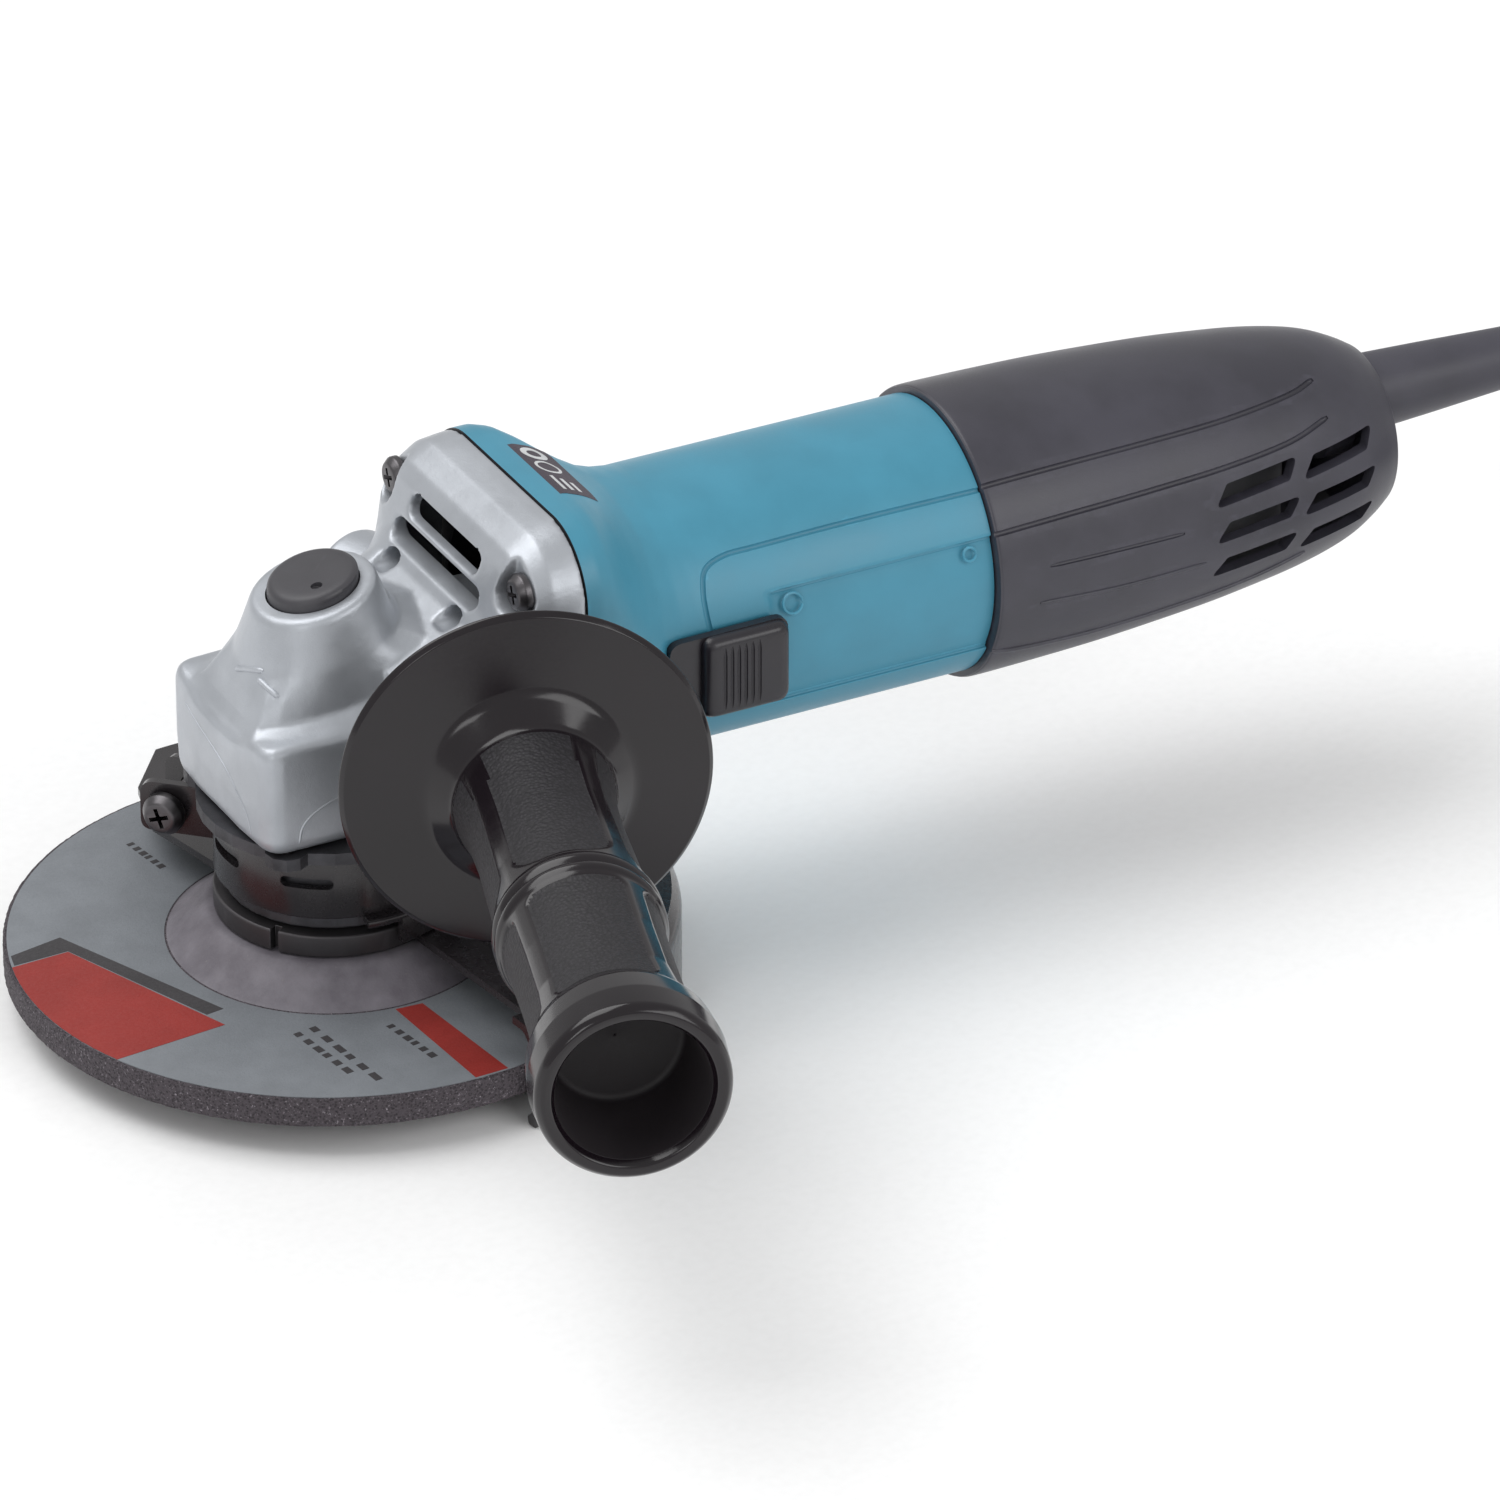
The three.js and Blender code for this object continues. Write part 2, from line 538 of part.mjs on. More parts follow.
function makeBearingBox() {
  const at = [RETAINER_RADIUS, 0];
  const seat = lathe([
    [9.4, 17.8], [20.1, 17.8], [20.4, 18.2], [20.4, 34.4], [25.4, 34.4], [25.4, 36.9], [16, 36.9],
    [16, 23.1], [9.4, 23.1],
  ], 'z', [0, 0], FINE);
  const pads = RETAINER_ANGLES.map((angle) => turned(rod('z', 4.3, 34.4, 36.9, at, SMALL), angle));
  const barrel = rod('z', 20.4, 20, 60, [0, 0], FINE);
  const sink = cut(join(rod('z', 1.9, 30, 38, at, TINY), rod('z', 3.2, 30, 35.2, at, SMALL)), barrel);
  const sinks = RETAINER_ANGLES.map((angle) => turned(sink, angle));
  place('bearing_box', cut(join(seat, ...pads), ...sinks), CAST);
}

// ---------------------------------------------------------------- shaft lock

function makeShaftLock() {
  const button = cut(
    rod('z', 8.6, 77, 92, [BUTTON_X, 0], ROUND),
    above(BUTTON_X, 83.4, BUTTON_SLOPE),
    rod('z', 1.2, 82.6, 90, [BUTTON_X + 1, 0], 12));
  place('lock_button', button, DARK_PLASTIC);
  place('lock_pin', lathe([
    [0, 51.4], [1.3, 51.4], [1.85, 52], [1.85, 76.7], [0, 76.7],
  ], 'z', [PIN_X, 0], SMALL), STEEL);
  place('lock_spring', spring(2.8, 0.4, 68.5, 76.7, 5).translate([PIN_X, 0, 0]), STEEL);
}

// ---------------------------------------------------------------- motor

function makeArmature() {
  const axis = [0, AXIS_Z];
  place('armature_shaft', lathe([
    [0, 10], [2, 10], [2, 25], [4, 25], [4, 149.5], [3.4, 149.8], [3.4, 159], [0, 159],
  ], 'x', axis, 24), STEEL);
  const slots = Array.from({ length: 12 }, (_, i) =>
    box([70, 120], [-1, 1], [13, 18]).rotate([i * 30, 0, 0]).translate([0, 0, AXIS_Z]));
  place('armature_core', cut(ring('x', 4.2, 16.6, 74, 114, axis, FINE), ...slots), DARK_STEEL);
  place('armature_winding_front', lathe([
    [4.4, 62], [10, 62], [13.5, 65], [14.6, 73.6], [4.4, 73.6]], 'x', axis, 24), COPPER);
  place('armature_winding_rear', lathe([
    [4.4, 114.4], [14.6, 114.4], [13, 121.5], [9, 124.6], [4.4, 124.6]], 'x', axis, 24), COPPER);
  const bars = Array.from({ length: 16 }, (_, i) =>
    box([126, 143], [-0.25, 0.25], [8.4, 10]).rotate([i * 22.5, 0, 0]).translate([0, 0, AXIS_Z]));
  place('commutator', cut(ring('x', 4.2, 9.2, 127.4, 141.6, axis, FINE), ...bars), COPPER);
  place('front_ball_bearing', cut(ring('x', 4.15, 10.8, 25.2, 33.6, axis),
    ring('x', 5.6, 9.2, 32.9, 35, axis)), STEEL);
  place('rear_ball_bearing', cut(ring('x', 3.55, 9.4, 150.2, 157, axis),
    ring('x', 4.8, 8, 156.4, 158, axis)), STEEL);

  const blade = box([41.5, 50.5], [-0.6, 0.6], [10, 24.6]);
  const blades = Array.from({ length: 12 }, (_, i) =>
    blade.rotate([i * 30, 0, 0]).translate([0, 0, AXIS_Z]));
  const hub = lathe([[4.3, 40.5], [9, 40.5], [12, 49.4], [24.6, 50.5], [24.6, 52.2], [4.3, 52.2]],
    'x', axis, FINE);
  place('cooling_fan', join(hub, ...blades), NYLON);
}

function makeStator() {
  const axis = [0, AXIS_Z];
  const flats = [box([60, 130], [22.3, 40], [20, 100]), box([60, 130], [-40, -22.3], [20, 100])];
  const body = ring('x', 20.6, 24.8, 73, 115, axis, FINE);
  const polePiece = (from, to) => sectorX(17.4, 20.8, from, to, 73, 115);
  const core = cut(join(body, polePiece(40, 140), polePiece(220, 320)), ...flats);
  place('stator_core', core, DARK_STEEL);
  const makeCoil = (middle) => join(
    sectorX(17.8, 20.2, middle + 55, middle + 80, 67, 121),
    sectorX(17.8, 20.2, middle - 80, middle - 55, 67, 121),
    sectorX(17.8, 23.4, middle - 80, middle + 80, 115.4, 121.6),
    sectorX(17.8, 23.4, middle - 80, middle + 80, 66.4, 72.6));
  const rail = box([50, 130], [-40, -22.3], [50, 68]);
  place('field_coil_top', cut(makeCoil(90), rail), COPPER);
  place('field_coil_bottom', cut(makeCoil(270), rail), COPPER);
  place('fan_baffle', cut(ring('x', 16, 24.9, 57, 58.6, axis, FINE), rail), NYLON);
}

// A ring's sector round the motor's axis. Angles count from +Y towards +Z, in degrees.
function sectorX(inner, outer, from, to, low, high) {
  return sector(inner, outer, from, to, low, high)
    .rotate([90, 0, 0]).rotate([0, 0, 90]).translate([0, 0, AXIS_Z]);
}

function makeBrushes() {
  const sides = [['top', 1], ['bottom', -1]];
  sides.forEach(([side, sign]) => {
    const up = (body) => (sign > 0 ? body : body.rotate([180, 0, 0])).translate([0, 0, AXIS_Z]);
    const holder = cut(
      box([129.6, 140.4], [-4.6, 4.6], [10.6, 24]),
      box([131.4, 138.6], [-3.3, 3.3], [9, 22.8]),
      box([133.6, 136.4], [2, 6], [12, 20]));
    place(`brush_holder_${side}`, up(holder), BRASS);
    place(`carbon_brush_${side}`, up(box([131.7, 138.3], [-3, 3], [9.5, 17.6])), CARBON);
    place(`brush_spring_${side}`, up(spring(2.2, 0.35, 17.9, 22.5, 3).translate([135, 0, 0])), STEEL);
  });
}

// ---------------------------------------------------------------- housings behind the gearbox

function makeMotorHousing() {
  const outer = alongX([
    [SEAM_FRONT, 32, AXIS_Z, 34.8, 14], [43, 31.8, AXIS_Z, 34.8, 15], [48, 30.6, AXIS_Z, 33.2, 19],
    [53, 29, AXIS_Z, 30.6, 24], [58, 27.9, AXIS_Z, 28.4, 27],
    [64, BARREL_RADIUS, AXIS_Z, BARREL_RADIUS, BARREL_RADIUS],
    [SEAM_REAR, BARREL_RADIUS, AXIS_Z, BARREL_RADIUS, BARREL_RADIUS],
  ], 7);
  const fanRoom = rod('x', 26.6, 30, 56.6, [0, AXIS_Z], FINE);
  const bore = rod('x', BARREL_BORE, 50, 140, [0, AXIS_Z], FINE);
  const track = box([45, 95], [-45, -27], [47.5, 69.5]);
  const knobSlot = box([57.5, 74], [-32, -20], [55.5, 61.5]);
  const screwHoles = HOUSING_SCREWS.map((at) => rod('x', 2.1, 30, 46.4, at, TINY));
  const railRoom = box([50, 140], [-25.1, -20], [54, 64]);
  place('motor_housing', cut(outer, fanRoom, bore, track, knobSlot, railRoom, ...screwHoles), TEAL);
}

const COVER_PROFILE = [
  [SEAM_REAR + GAP, 28.5], [131, 28.8], [150, 28.4], [163, 27.8], [180, 26.6], [191, 25.4],
  [200, 24.2], [208, 22.6], [214, 20.8], [219, 18.4], [TAIL_END, TAIL_RADIUS],
];

function makeRearCover() {
  const outer = roundBody(COVER_PROFILE);
  const wall = 2.5;
  const inner = roundBody([[120, 26.1], [150, 25.9], ...COVER_PROFILE.slice(3, 9)
    .map(([x, radius]) => [x, radius - wall]), [218.6, 16.6]], FINE);
  const cordHole = rod('x', 8, 210, 230, [0, CORD_EXIT[2]], 24);
  const vent = (from, to, z) => prism(slotShape(to - from, 4), 12, 40, 2)
    .rotate([90, 0, 0]).translate([(from + to) / 2, 0, z]);
  const vents = [50.4, 60, 69.6].flatMap((z) => [vent(179, 195, z), vent(199.5, 213, z)]);
  const coverScrewHole = join(
    rod('z', 2, 30, 50, [COVER_SCREW_X, 0], 12), rod('z', 4.2, 20, 32.6, [COVER_SCREW_X, 0], SMALL));
  place('rear_cover', cut(outer, inner, cordHole, coverScrewHole, ...vents,
    ...vents.map(mirrored)), DARK_PLASTIC);

  const plate = ring('x', 9.6, 25.4, 143.5, 147, [0, AXIS_Z], FINE);
  const hub = cut(rod('x', 12.4, 143.5, 157.4, [0, AXIS_Z]), rod('x', 9.6, 149.8, 160, [0, AXIS_Z]),
    rod('x', 5, 140, 160, [0, AXIS_Z], SMALL));
  const windows = [45, 135, 225, 315]
    .map((angle) => sectorX(14.5, 22.5, angle - 22, angle + 22, 140, 150));
  const railNotch = box([140, 150], [-30, -22], [53.5, 64.5]);
  place('bearing_bridge', cut(join(plate, hub), ...windows, railNotch), NYLON);
}

function makeSwitch() {
  const hump = prism(slotShape(25, 17.5), 0, 3.2, 5).rotate([90, 0, 0])
    .translate([69.5, -27.3, 58]);
  const ribs = [66.5, 69.5, 72.5, 75.5].map((x) => box([x, x + 1.2], [-31.7, -30], [51, 65]));
  const stem = box([67, 71.5], [-28, -22.6], [56.6, 60.4]);
  place('switch_knob', join(hump, ...ribs, stem), GLOSS_BLACK);
  const strip = box([62, 167.6], [-24.4, -22.9], [55, 63]);
  const hook = box([166, 167.6], [-24.4, -13], [56.5, 61.5]);
  place('switch_rod', cut(join(strip, hook), box([66.7, 71.8], [-26, -21], [56.3, 60.7])), NYLON);
  place('switch_body', cut(box([169, 197], [-15, 3], [50, 67]),
    box([168, 172], [-15.1, -9], [55, 63])), CREAM);
  place('noise_capacitor', box([170, 194], [5, 15], [49, 63]), NYLON);
}

// ---------------------------------------------------------------- side handle

function makeHandle() {
  const grip = onHandleAxis([
    [4.3, 0.4], [8.6, 0.4], [9.6, 4], [13, 9.5], [22, 12.8], [HANDLE_FLANGE_RADIUS - 0.6, 13.6],
    [HANDLE_FLANGE_RADIUS, 14.6], [HANDLE_FLANGE_RADIUS - 1, 15.8], [24, 16.6], [17.5, 21],
    [14.6, 28], [14, 42], [15.4, 70], [16.2, 72], [15.2, 76], [15.2, 108],
    [17.6, 116], [18.2, 124], [17.2, 129.4], [14, 129.4], [12.6, 110], [4.3, 108],
  ], FINE);
  place('side_handle', grip, GLOSS_BLACK);
  place('handle_stud', onHandleAxis([
    [0, -12], [3.2, -12], [3.9, -11.2], [3.9, 96], [0, 96]], SMALL), STEEL);
}

// ---------------------------------------------------------------- cord

const CORD_RUN = [
  [278.3, 0, 65.5], [289, 0, 65.5], [300, 0, 65.5], [311.6, 0, 64], [322.5, 0, 59.5],
  [331.8, 0, 52.3], [339, 0, 43], [343.6, 0, 31.5], [348.2, 0, 20.2], [355.4, 0, 10.9],
  [364.7, 0, 3.7], [375.6, 0, -0.6], [385.5, 0, -1.6],
];

const CORD_TAIL = [
  [385.8, -104, 13.5], [379, -104, 8.6], [371.5, -104, 4.2], [362.5, -104, 0.2], [353, -104, -1.9],
  [344, -104, -1.3], [335, -104, 1.2], [326, -104, 3.9], [317.8, -104, 4.7],
];

const PLUG_END = CORD_TAIL.at(-1);

function makeCord() {
  place('cord_guard', lathe([
    [0, 211], [10.4, 211], [10.4, 216.6], [7.6, 216.9], [7.6, 228], [6.2, 252],
    [5, 276], [4.6, CORD_EXIT[0]], [0, CORD_EXIT[0]],
  ], 'x', [0, CORD_EXIT[2]], 24), RUBBER);
  place('inner_lead', rod('x', CORD_RADIUS, 199, 210.7, [0, CORD_EXIT[2]], SMALL), RUBBER);
  place('cord_clamp', cut(box([200, 208], [-9, 9], [CORD_EXIT[2] + 1, CORD_EXIT[2] + 6]),
    rod('x', CORD_RADIUS + GAP, 190, 220, [0, CORD_EXIT[2]], SMALL)), NYLON);

  const points = (route) => route.map((point) => new THREE.Vector3(...point));
  place('cord_run', tube(points(CORD_RUN), CORD_RADIUS, 10, 10), RUBBER);
  place('cord_tail', tube(points(CORD_TAIL), CORD_RADIUS, 10, 6), RUBBER);
  const [inside, outside] = [COIL_RADII[0] - CORD_RADIUS, COIL_RADII[1] + CORD_RADIUS];
  const coilTop = COIL_LOW + COIL_LAYERS * 2 * CORD_RADIUS;
  place('cord_coil', ring('z', inside, outside, COIL_LOW, coilTop, COIL_CENTRE, FINE), RUBBER);
  const tieX = COIL_CENTRE[0];
  const tie = cut(
    box([tieX + inside - 1.6, tieX + outside + 1.6], [-57, -47], [FLOOR, coilTop + 1.5]),
    box([tieX + inside - 0.5, tieX + outside + 0.6], [-60, -40], [COIL_LOW - GAP, coilTop + GAP]));
  place('cord_tie', tie, NYLON);

  const [plugX, plugY, plugZ] = PLUG_END;
  const relief = lathe([[0, 0], [4.6, 0], [6.6, 24], [8.4, 30], [0, 30]], 'x', [0, 0], SMALL);
  const body = loft([[28, 8.4, 8.4, 8], [32, 13, 10.4, 8], [42, 17.6, 11, 9], [62, 17.6, 11, 9],
    [68, 16.4, 10.4, 9]].map(([x, width, height, corner]) =>
    roundedOutline(width, height, corner, 6).map(([y, z]) => [x, y, z])));
  const sockets = [-9.5, 9.5].map((y) => rod('x', 2.6, 64, 70, [y, 0], 12));
  const facing = (shape) => turned(shape, 180).translate([plugX - 2 * GAP, plugY, plugZ]);
  place('plug', facing(cut(join(relief, body), ...sockets)), RUBBER);
  [-9.5, 9.5].forEach((y, i) => {
    const pin = lathe([[0, 64.4], [2.3, 64.4], [2.3, 85.4], [1.5, 87], [0, 87]], 'x', [y, 0], SMALL);
    place(`plug_pin_${i + 1}`, facing(pin), STEEL);
  });
}

makeSpindle();
makeBevelGears();
makeGuard();
makeGearHousing();
makeShaftLock();
makeArmature();
makeStator();
makeBrushes();
makeMotorHousing();
makeRearCover();
makeSwitch();
makeHandle();
makeCord();

export default grinder;
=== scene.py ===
import json
import math

import bmesh
import bpy
import numpy as np
from mathutils import Matrix, Vector
from mathutils.bvhtree import BVHTree


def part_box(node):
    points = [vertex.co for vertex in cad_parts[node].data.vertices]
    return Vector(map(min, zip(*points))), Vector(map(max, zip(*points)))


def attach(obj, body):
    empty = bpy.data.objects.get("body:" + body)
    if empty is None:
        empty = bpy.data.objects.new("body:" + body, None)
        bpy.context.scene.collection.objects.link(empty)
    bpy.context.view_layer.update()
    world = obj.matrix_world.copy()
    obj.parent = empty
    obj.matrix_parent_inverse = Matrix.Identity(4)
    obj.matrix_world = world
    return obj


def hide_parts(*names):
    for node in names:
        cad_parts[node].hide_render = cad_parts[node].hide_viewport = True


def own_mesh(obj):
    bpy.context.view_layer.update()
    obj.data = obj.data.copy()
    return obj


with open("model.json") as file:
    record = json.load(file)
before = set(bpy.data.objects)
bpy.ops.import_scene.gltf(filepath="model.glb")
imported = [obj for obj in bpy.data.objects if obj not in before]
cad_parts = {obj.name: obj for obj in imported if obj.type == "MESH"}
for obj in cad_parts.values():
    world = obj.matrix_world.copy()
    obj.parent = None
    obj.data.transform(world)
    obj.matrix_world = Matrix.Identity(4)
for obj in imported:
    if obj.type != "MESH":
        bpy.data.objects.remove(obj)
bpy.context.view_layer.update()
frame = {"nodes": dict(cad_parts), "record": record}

MM = 0.001
ROOT = "grinder_body"
SPINDLE = "spindle_group"
GUARD = "guard_group"
LOCK = "lock_group"
SWITCH = "switch_group"


# ---- sizes read from the frame

def node_box(node):
    """A CAD node's lowest and highest corners, in millimetres."""
    low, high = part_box(node)
    return np.array(low) / MM, np.array(high) / MM


def extent(node, axis):
    """Where a CAD node starts and ends along an axis."""
    low, high = node_box(node)
    return float(low[axis]), float(high[axis])


X, Y, Z = range(3)
AXIS_Z = sum(extent("armature_shaft", Z)) / 2
FLOOR, GUARD_TOP = extent("wheel_guard", Z)
GUARD_RADIUS = extent("wheel_guard", X)[1]
SEAM_FRONT, SEAM_REAR = extent("motor_housing", X)
TAIL_START, TAIL_END = extent("rear_cover", X)
DISC_RADIUS = extent("grinding_disc", Y)[1]
DISC_TOP = 6.0
SHOULDER_STEP = 7.4
BARREL = extent("motor_housing", Z)[1] - AXIS_Z - SHOULDER_STEP
CORD_EXIT_X = extent("cord_guard", X)[1]
CORD_EXIT_Z = sum(extent("inner_lead", Z)) / 2
BUTTON_X = sum(extent("lock_button", X)) / 2
BUTTON_TOP = 83.4
BUTTON_SLOPE = 0.23
LIP_TOP = BUTTON_TOP - 2.6
HANDLE_TILT = math.radians(17.2)
HANDLE_FACE = np.array([21.1, -34.8, AXIS_Z])
HANDLE_OUT = np.array([-math.sin(HANDLE_TILT), -math.cos(HANDLE_TILT), 0])
HANDLE_SIDE = np.array([math.cos(HANDLE_TILT), -math.sin(HANDLE_TILT), 0])
EAR_ANGLE = math.radians(128)
CLAMP_REACH = 31.5
CLAMP_HEIGHT = 27.5
CLAMP_HALF_WIDTH = 6.4


# ---- mesh tools

def circle(count):
    """Angles of points spaced evenly round a circle."""
    return np.arange(count) * 2 * math.pi / count


def arc(radius, start, end, count):
    """Points round the origin between two angles in degrees."""
    return [(radius * math.cos(math.radians(a)), radius * math.sin(math.radians(a)))
            for a in np.linspace(start, end, count)]


def level_ring(radius, height, angles, x=0.0):
    """A ring round an upright line at x."""
    return np.stack([x + radius * np.cos(angles), radius * np.sin(angles), np.zeros(len(angles)) + height], 1)


def swept(name, profile, angles):
    """A [radius, height] profile swept round the spindle through some angles."""
    return loft(name, [[(r * math.cos(a), r * math.sin(a), h) for r, h in profile] for a in angles])


def rod(radius, low, high):
    """A cylinder's profile for turn()."""
    return [(0, low), (radius, low), (radius, high), (0, high)]


def ease(t):
    """Runs smoothly from 0 to 1."""
    t = min(1.0, max(0.0, t))
    return t * t * (3 - 2 * t)


def placed(name, data):
    """A new object in the scene."""
    obj = bpy.data.objects.new(name, data)
    bpy.context.scene.collection.objects.link(obj)
    return obj


def new_object(name, vertices, faces):
    """An object from points in millimetres, with its faces pointing out."""
    mesh = bpy.data.meshes.new(name)
    mesh.from_pydata([tuple(np.asarray(v) * MM) for v in vertices], [], faces)
    work = bmesh.new()
    work.from_mesh(mesh)
    bmesh.ops.remove_doubles(work, verts=work.verts, dist=1e-7)
    bmesh.ops.recalc_face_normals(work, faces=work.faces)
    work.to_mesh(mesh)
    work.free()
    return placed(name, mesh)


def loft(name, rings, loop=False):
    """A skin through rings of equal length, capped at both ends unless it loops."""
    count = len(rings[0])
    vertices = [point for ring in rings for point in ring]
    faces = []
    for i in range(len(rings) if loop else len(rings) - 1):
        k = (i + 1) % len(rings)
        for j in range(count):
            n = (j + 1) % count
            faces.append((i * count + j, i * count + n, k * count + n, k * count + j))
    if not loop:
        faces.append(tuple(range(count))[::-1])
        last = (len(rings) - 1) * count
        faces.append(tuple(range(last, last + count)))
    return new_object(name, vertices, faces)


def rounded(points, radius=0.5, steps=4, closed=True):
    """A polyline with each corner cut to an arc. A point may hold a radius of its own."""
    flat = [np.array(p[:2], float) for p in points]
    radii = [p[2] if len(p) > 2 else radius for p in points]
    out = []
    for i, here in enumerate(flat):
        if not closed and i in (0, len(flat) - 1):
            out.append(tuple(here))
            continue
        before, after = flat[i - 1], flat[(i + 1) % len(flat)]
        a, b = before - here, after - here
        la, lb = np.linalg.norm(a), np.linalg.norm(b)
        bend = math.acos(max(-1.0, min(1.0, float(a @ b) / (la * lb))))
        back = min(radii[i] / math.tan(bend / 2), 0.45 * la, 0.45 * lb) if bend < 3.1 else 0
        if back < 1e-4:
            out.append(tuple(here))
            continue
        start, end = here + a / la * back, here + b / lb * back
        for k in range(steps + 1):
            t = k / steps
            out.append(tuple((1 - t) ** 2 * start + 2 * t * (1 - t) * here + t * t * end))
    return out


def turn(name, profile, axis="z", at=(0.0, 0.0), fillet=0.5, segments=128, steps=3):
    """A [radius, height] profile turned round an axis, with its corners rounded."""
    on_axis = profile[0][0] == 0
    outline = rounded(profile, fillet, steps, closed=not on_axis)
    if on_axis:
        outline = [p for p in outline if p[0] > 1e-6]
    angles = circle(segments)
    rings = []
    for radius, height in outline:
        c, s = radius * np.cos(angles), radius * np.sin(angles)
        h = np.full(segments, height)
        if axis == "z":
            rings.append(np.stack([c + at[0], s + at[1], h], 1))
        else:
            rings.append(np.stack([h, c + at[0], s + at[1]], 1))
    return loft(name, rings, loop=not on_axis)


def block(name, x, y, z):
    """A box between pairs of x, y and z."""
    return loft(name, [[(a, y[0], z[0]), (a, y[1], z[0]), (a, y[1], z[1]), (a, y[0], z[1])] for a in x])


def slab(name, outline, low, high, place=None):
    """A flat shape standing from low to high. place maps its points into the frame."""
    rings = [[(a, b, h) for a, b in outline] for h in (low, high)]
    if place is not None:
        rings = [[place(p) for p in ring] for ring in rings]
    return loft(name, rings)


def slot_outline(length, width):
    """A flat slot with round ends."""
    half = (length - width) / 2
    angles = [-math.pi / 2 + math.pi * i / 10 for i in range(11)]
    return [(side * (half + width / 2 * math.cos(a)), side * width / 2 * math.sin(a))
            for side in (1, -1) for a in angles]


def upright(p):
    """Stands a flat point up in the XZ plane."""
    return p[0], p[2], p[1]


def facing_x(y=0.0, z=0.0):
    """A slab's place with its outline seen along X, about y and z."""
    return lambda p: (p[2], y + p[0], p[1] + z)


def rounded_box_outline(half_width, half_height, corner, steps=12):
    """A flat box with round corners."""
    points = []
    for quarter in range(4):
        for i in range(steps):
            angle = (quarter + (i + 0.5) / steps) * math.pi / 2
            side = (1, -1, -1, 1)[quarter]
            top = (1, 1, -1, -1)[quarter]
            points.append((side * (half_width - corner) + corner * math.cos(angle),
                           top * (half_height - corner) + corner * math.sin(angle)))
    return points


def along_x(name, sections):
    """A body along X. Sections are (x, half width, middle height, half height, corner)."""
    return loft(name, [[(x, y, middle + z) for y, z in rounded_box_outline(w, h, corner)]
                       for x, w, middle, h, corner in sections])


def catmull(points, steps):
    """Points on a smooth line through the given ones."""
    p = [np.array(q, float) for q in points]
    p = [2 * p[0] - p[1]] + p + [2 * p[-1] - p[-2]]
    out = []
    for i in range(1, len(p) - 2):
        for k in range(steps):
            t = k / steps
            out.append(0.5 * (2 * p[i] + (p[i + 1] - p[i - 1]) * t
                              + (2 * p[i - 1] - 5 * p[i] + 4 * p[i + 1] - p[i + 2]) * t * t
                              + (3 * p[i] - 3 * p[i + 1] + p[i + 2] - p[i - 1]) * t ** 3))
    return out + [p[-2]]


def pipe(name, points, radius, sides=12):
    """A closed tube along points, with its ends pinched to round them."""
    p = np.array(points, float)
    tangents = np.gradient(p, axis=0)
    tangents /= np.linalg.norm(tangents, axis=1)[:, None]
    side = np.cross(tangents[0], (0.3, 0.2, 0.93))
    rings = []
    for i, (here, forward) in enumerate(zip(p, tangents)):
        side = side - forward * float(side @ forward)
        side /= np.linalg.norm(side)
        up = np.cross(forward, side)
        size = radius * (0.55 if i in (0, len(p) - 1) else 1)
        rings.append([here + size * (math.cos(a) * side + math.sin(a) * up) for a in circle(sides)])
    return loft(name, rings)


def apply_modifiers(obj):
    """Bakes an object's modifiers into its mesh."""
    graph = bpy.context.evaluated_depsgraph_get()
    mesh = bpy.data.meshes.new_from_object(obj.evaluated_get(graph))
    old = obj.data
    obj.modifiers.clear()
    obj.data = mesh
    bpy.data.meshes.remove(old)
    return obj


def combine(obj, tools, operation):
    """Applies solids to a solid one by one and removes them."""
    for tool in tools:
        modifier = obj.modifiers.new("combine", "BOOLEAN")
        modifier.operation = operation
        modifier.object = tool
        modifier.solver = "MANIFOLD"
    apply_modifiers(obj)
    for tool in tools:
        bpy.data.objects.remove(tool)
    return obj


def cut(obj, *tools):
    return combine(obj, tools, "DIFFERENCE")


def join(obj, *tools):
    return combine(obj, tools, "UNION")


def melt(obj, voxel, rounds):
    """Remeshes a solid evenly and relaxes it, which rounds its edges as a casting's are."""
    remesh = obj.modifiers.new("remesh", "REMESH")
    remesh.mode = "VOXEL"
    remesh.voxel_size = voxel * MM
    smooth = obj.modifiers.new("smooth", "SMOOTH")
    smooth.factor = 0.5
    smooth.iterations = rounds
    return apply_modifiers(obj)


def crease(obj, angle=35):
    """Smooth shading, kept sharp where faces meet at more than an angle."""
    work = bmesh.new()
    work.from_mesh(obj.data)
    limit = math.radians(angle)
    for edge in work.edges:
        edge.smooth = len(edge.link_faces) == 2 and edge.calc_face_angle(0) < limit
    for face in work.faces:
        face.smooth = True
    work.to_mesh(obj.data)
    work.free()
    return obj


def bevel(obj, width, segments=2, angle=35):
    """Softens the edges sharper than an angle."""
    modifier = obj.modifiers.new("bevel", "BEVEL")
    modifier.width = width * MM
    modifier.segments = segments
    modifier.limit_method = "ANGLE"
    modifier.angle_limit = math.radians(angle)
    modifier.use_clamp_overlap = True
    return obj


def move(obj, matrix):
    """Moves an object's points by a 4x4 whose shift is in millimetres."""
    scaled = matrix.copy()
    scaled.translation = matrix.translation * MM
    obj.data.transform(scaled)
    return obj


def turned_z(degrees):
    """A turn about the spindle's direction."""
    return Matrix.Rotation(math.radians(degrees), 4, "Z")


def settle(obj, body, slot, replaces=(), look=None, angle=35):
    """Gives a finished piece its body and its material, picked by slot unless a look is given, and hides the
    CAD nodes it stands for.
    """
    obj.data.materials.clear()
    obj.data.materials.append(look or LOOKS[slot])
    crease(obj, angle)
    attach(obj, body)
    if replaces:
        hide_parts(*replaces)
    return obj


# ---- camera

AZIMUTH = math.radians(-27.8)
ELEVATION = math.radians(29.57)
CAMERA_LENS = 285.9
CAMERA_DISTANCE = 2256.5
CAMERA_SIDE = 78.88
CAMERA_RISE = 38.97


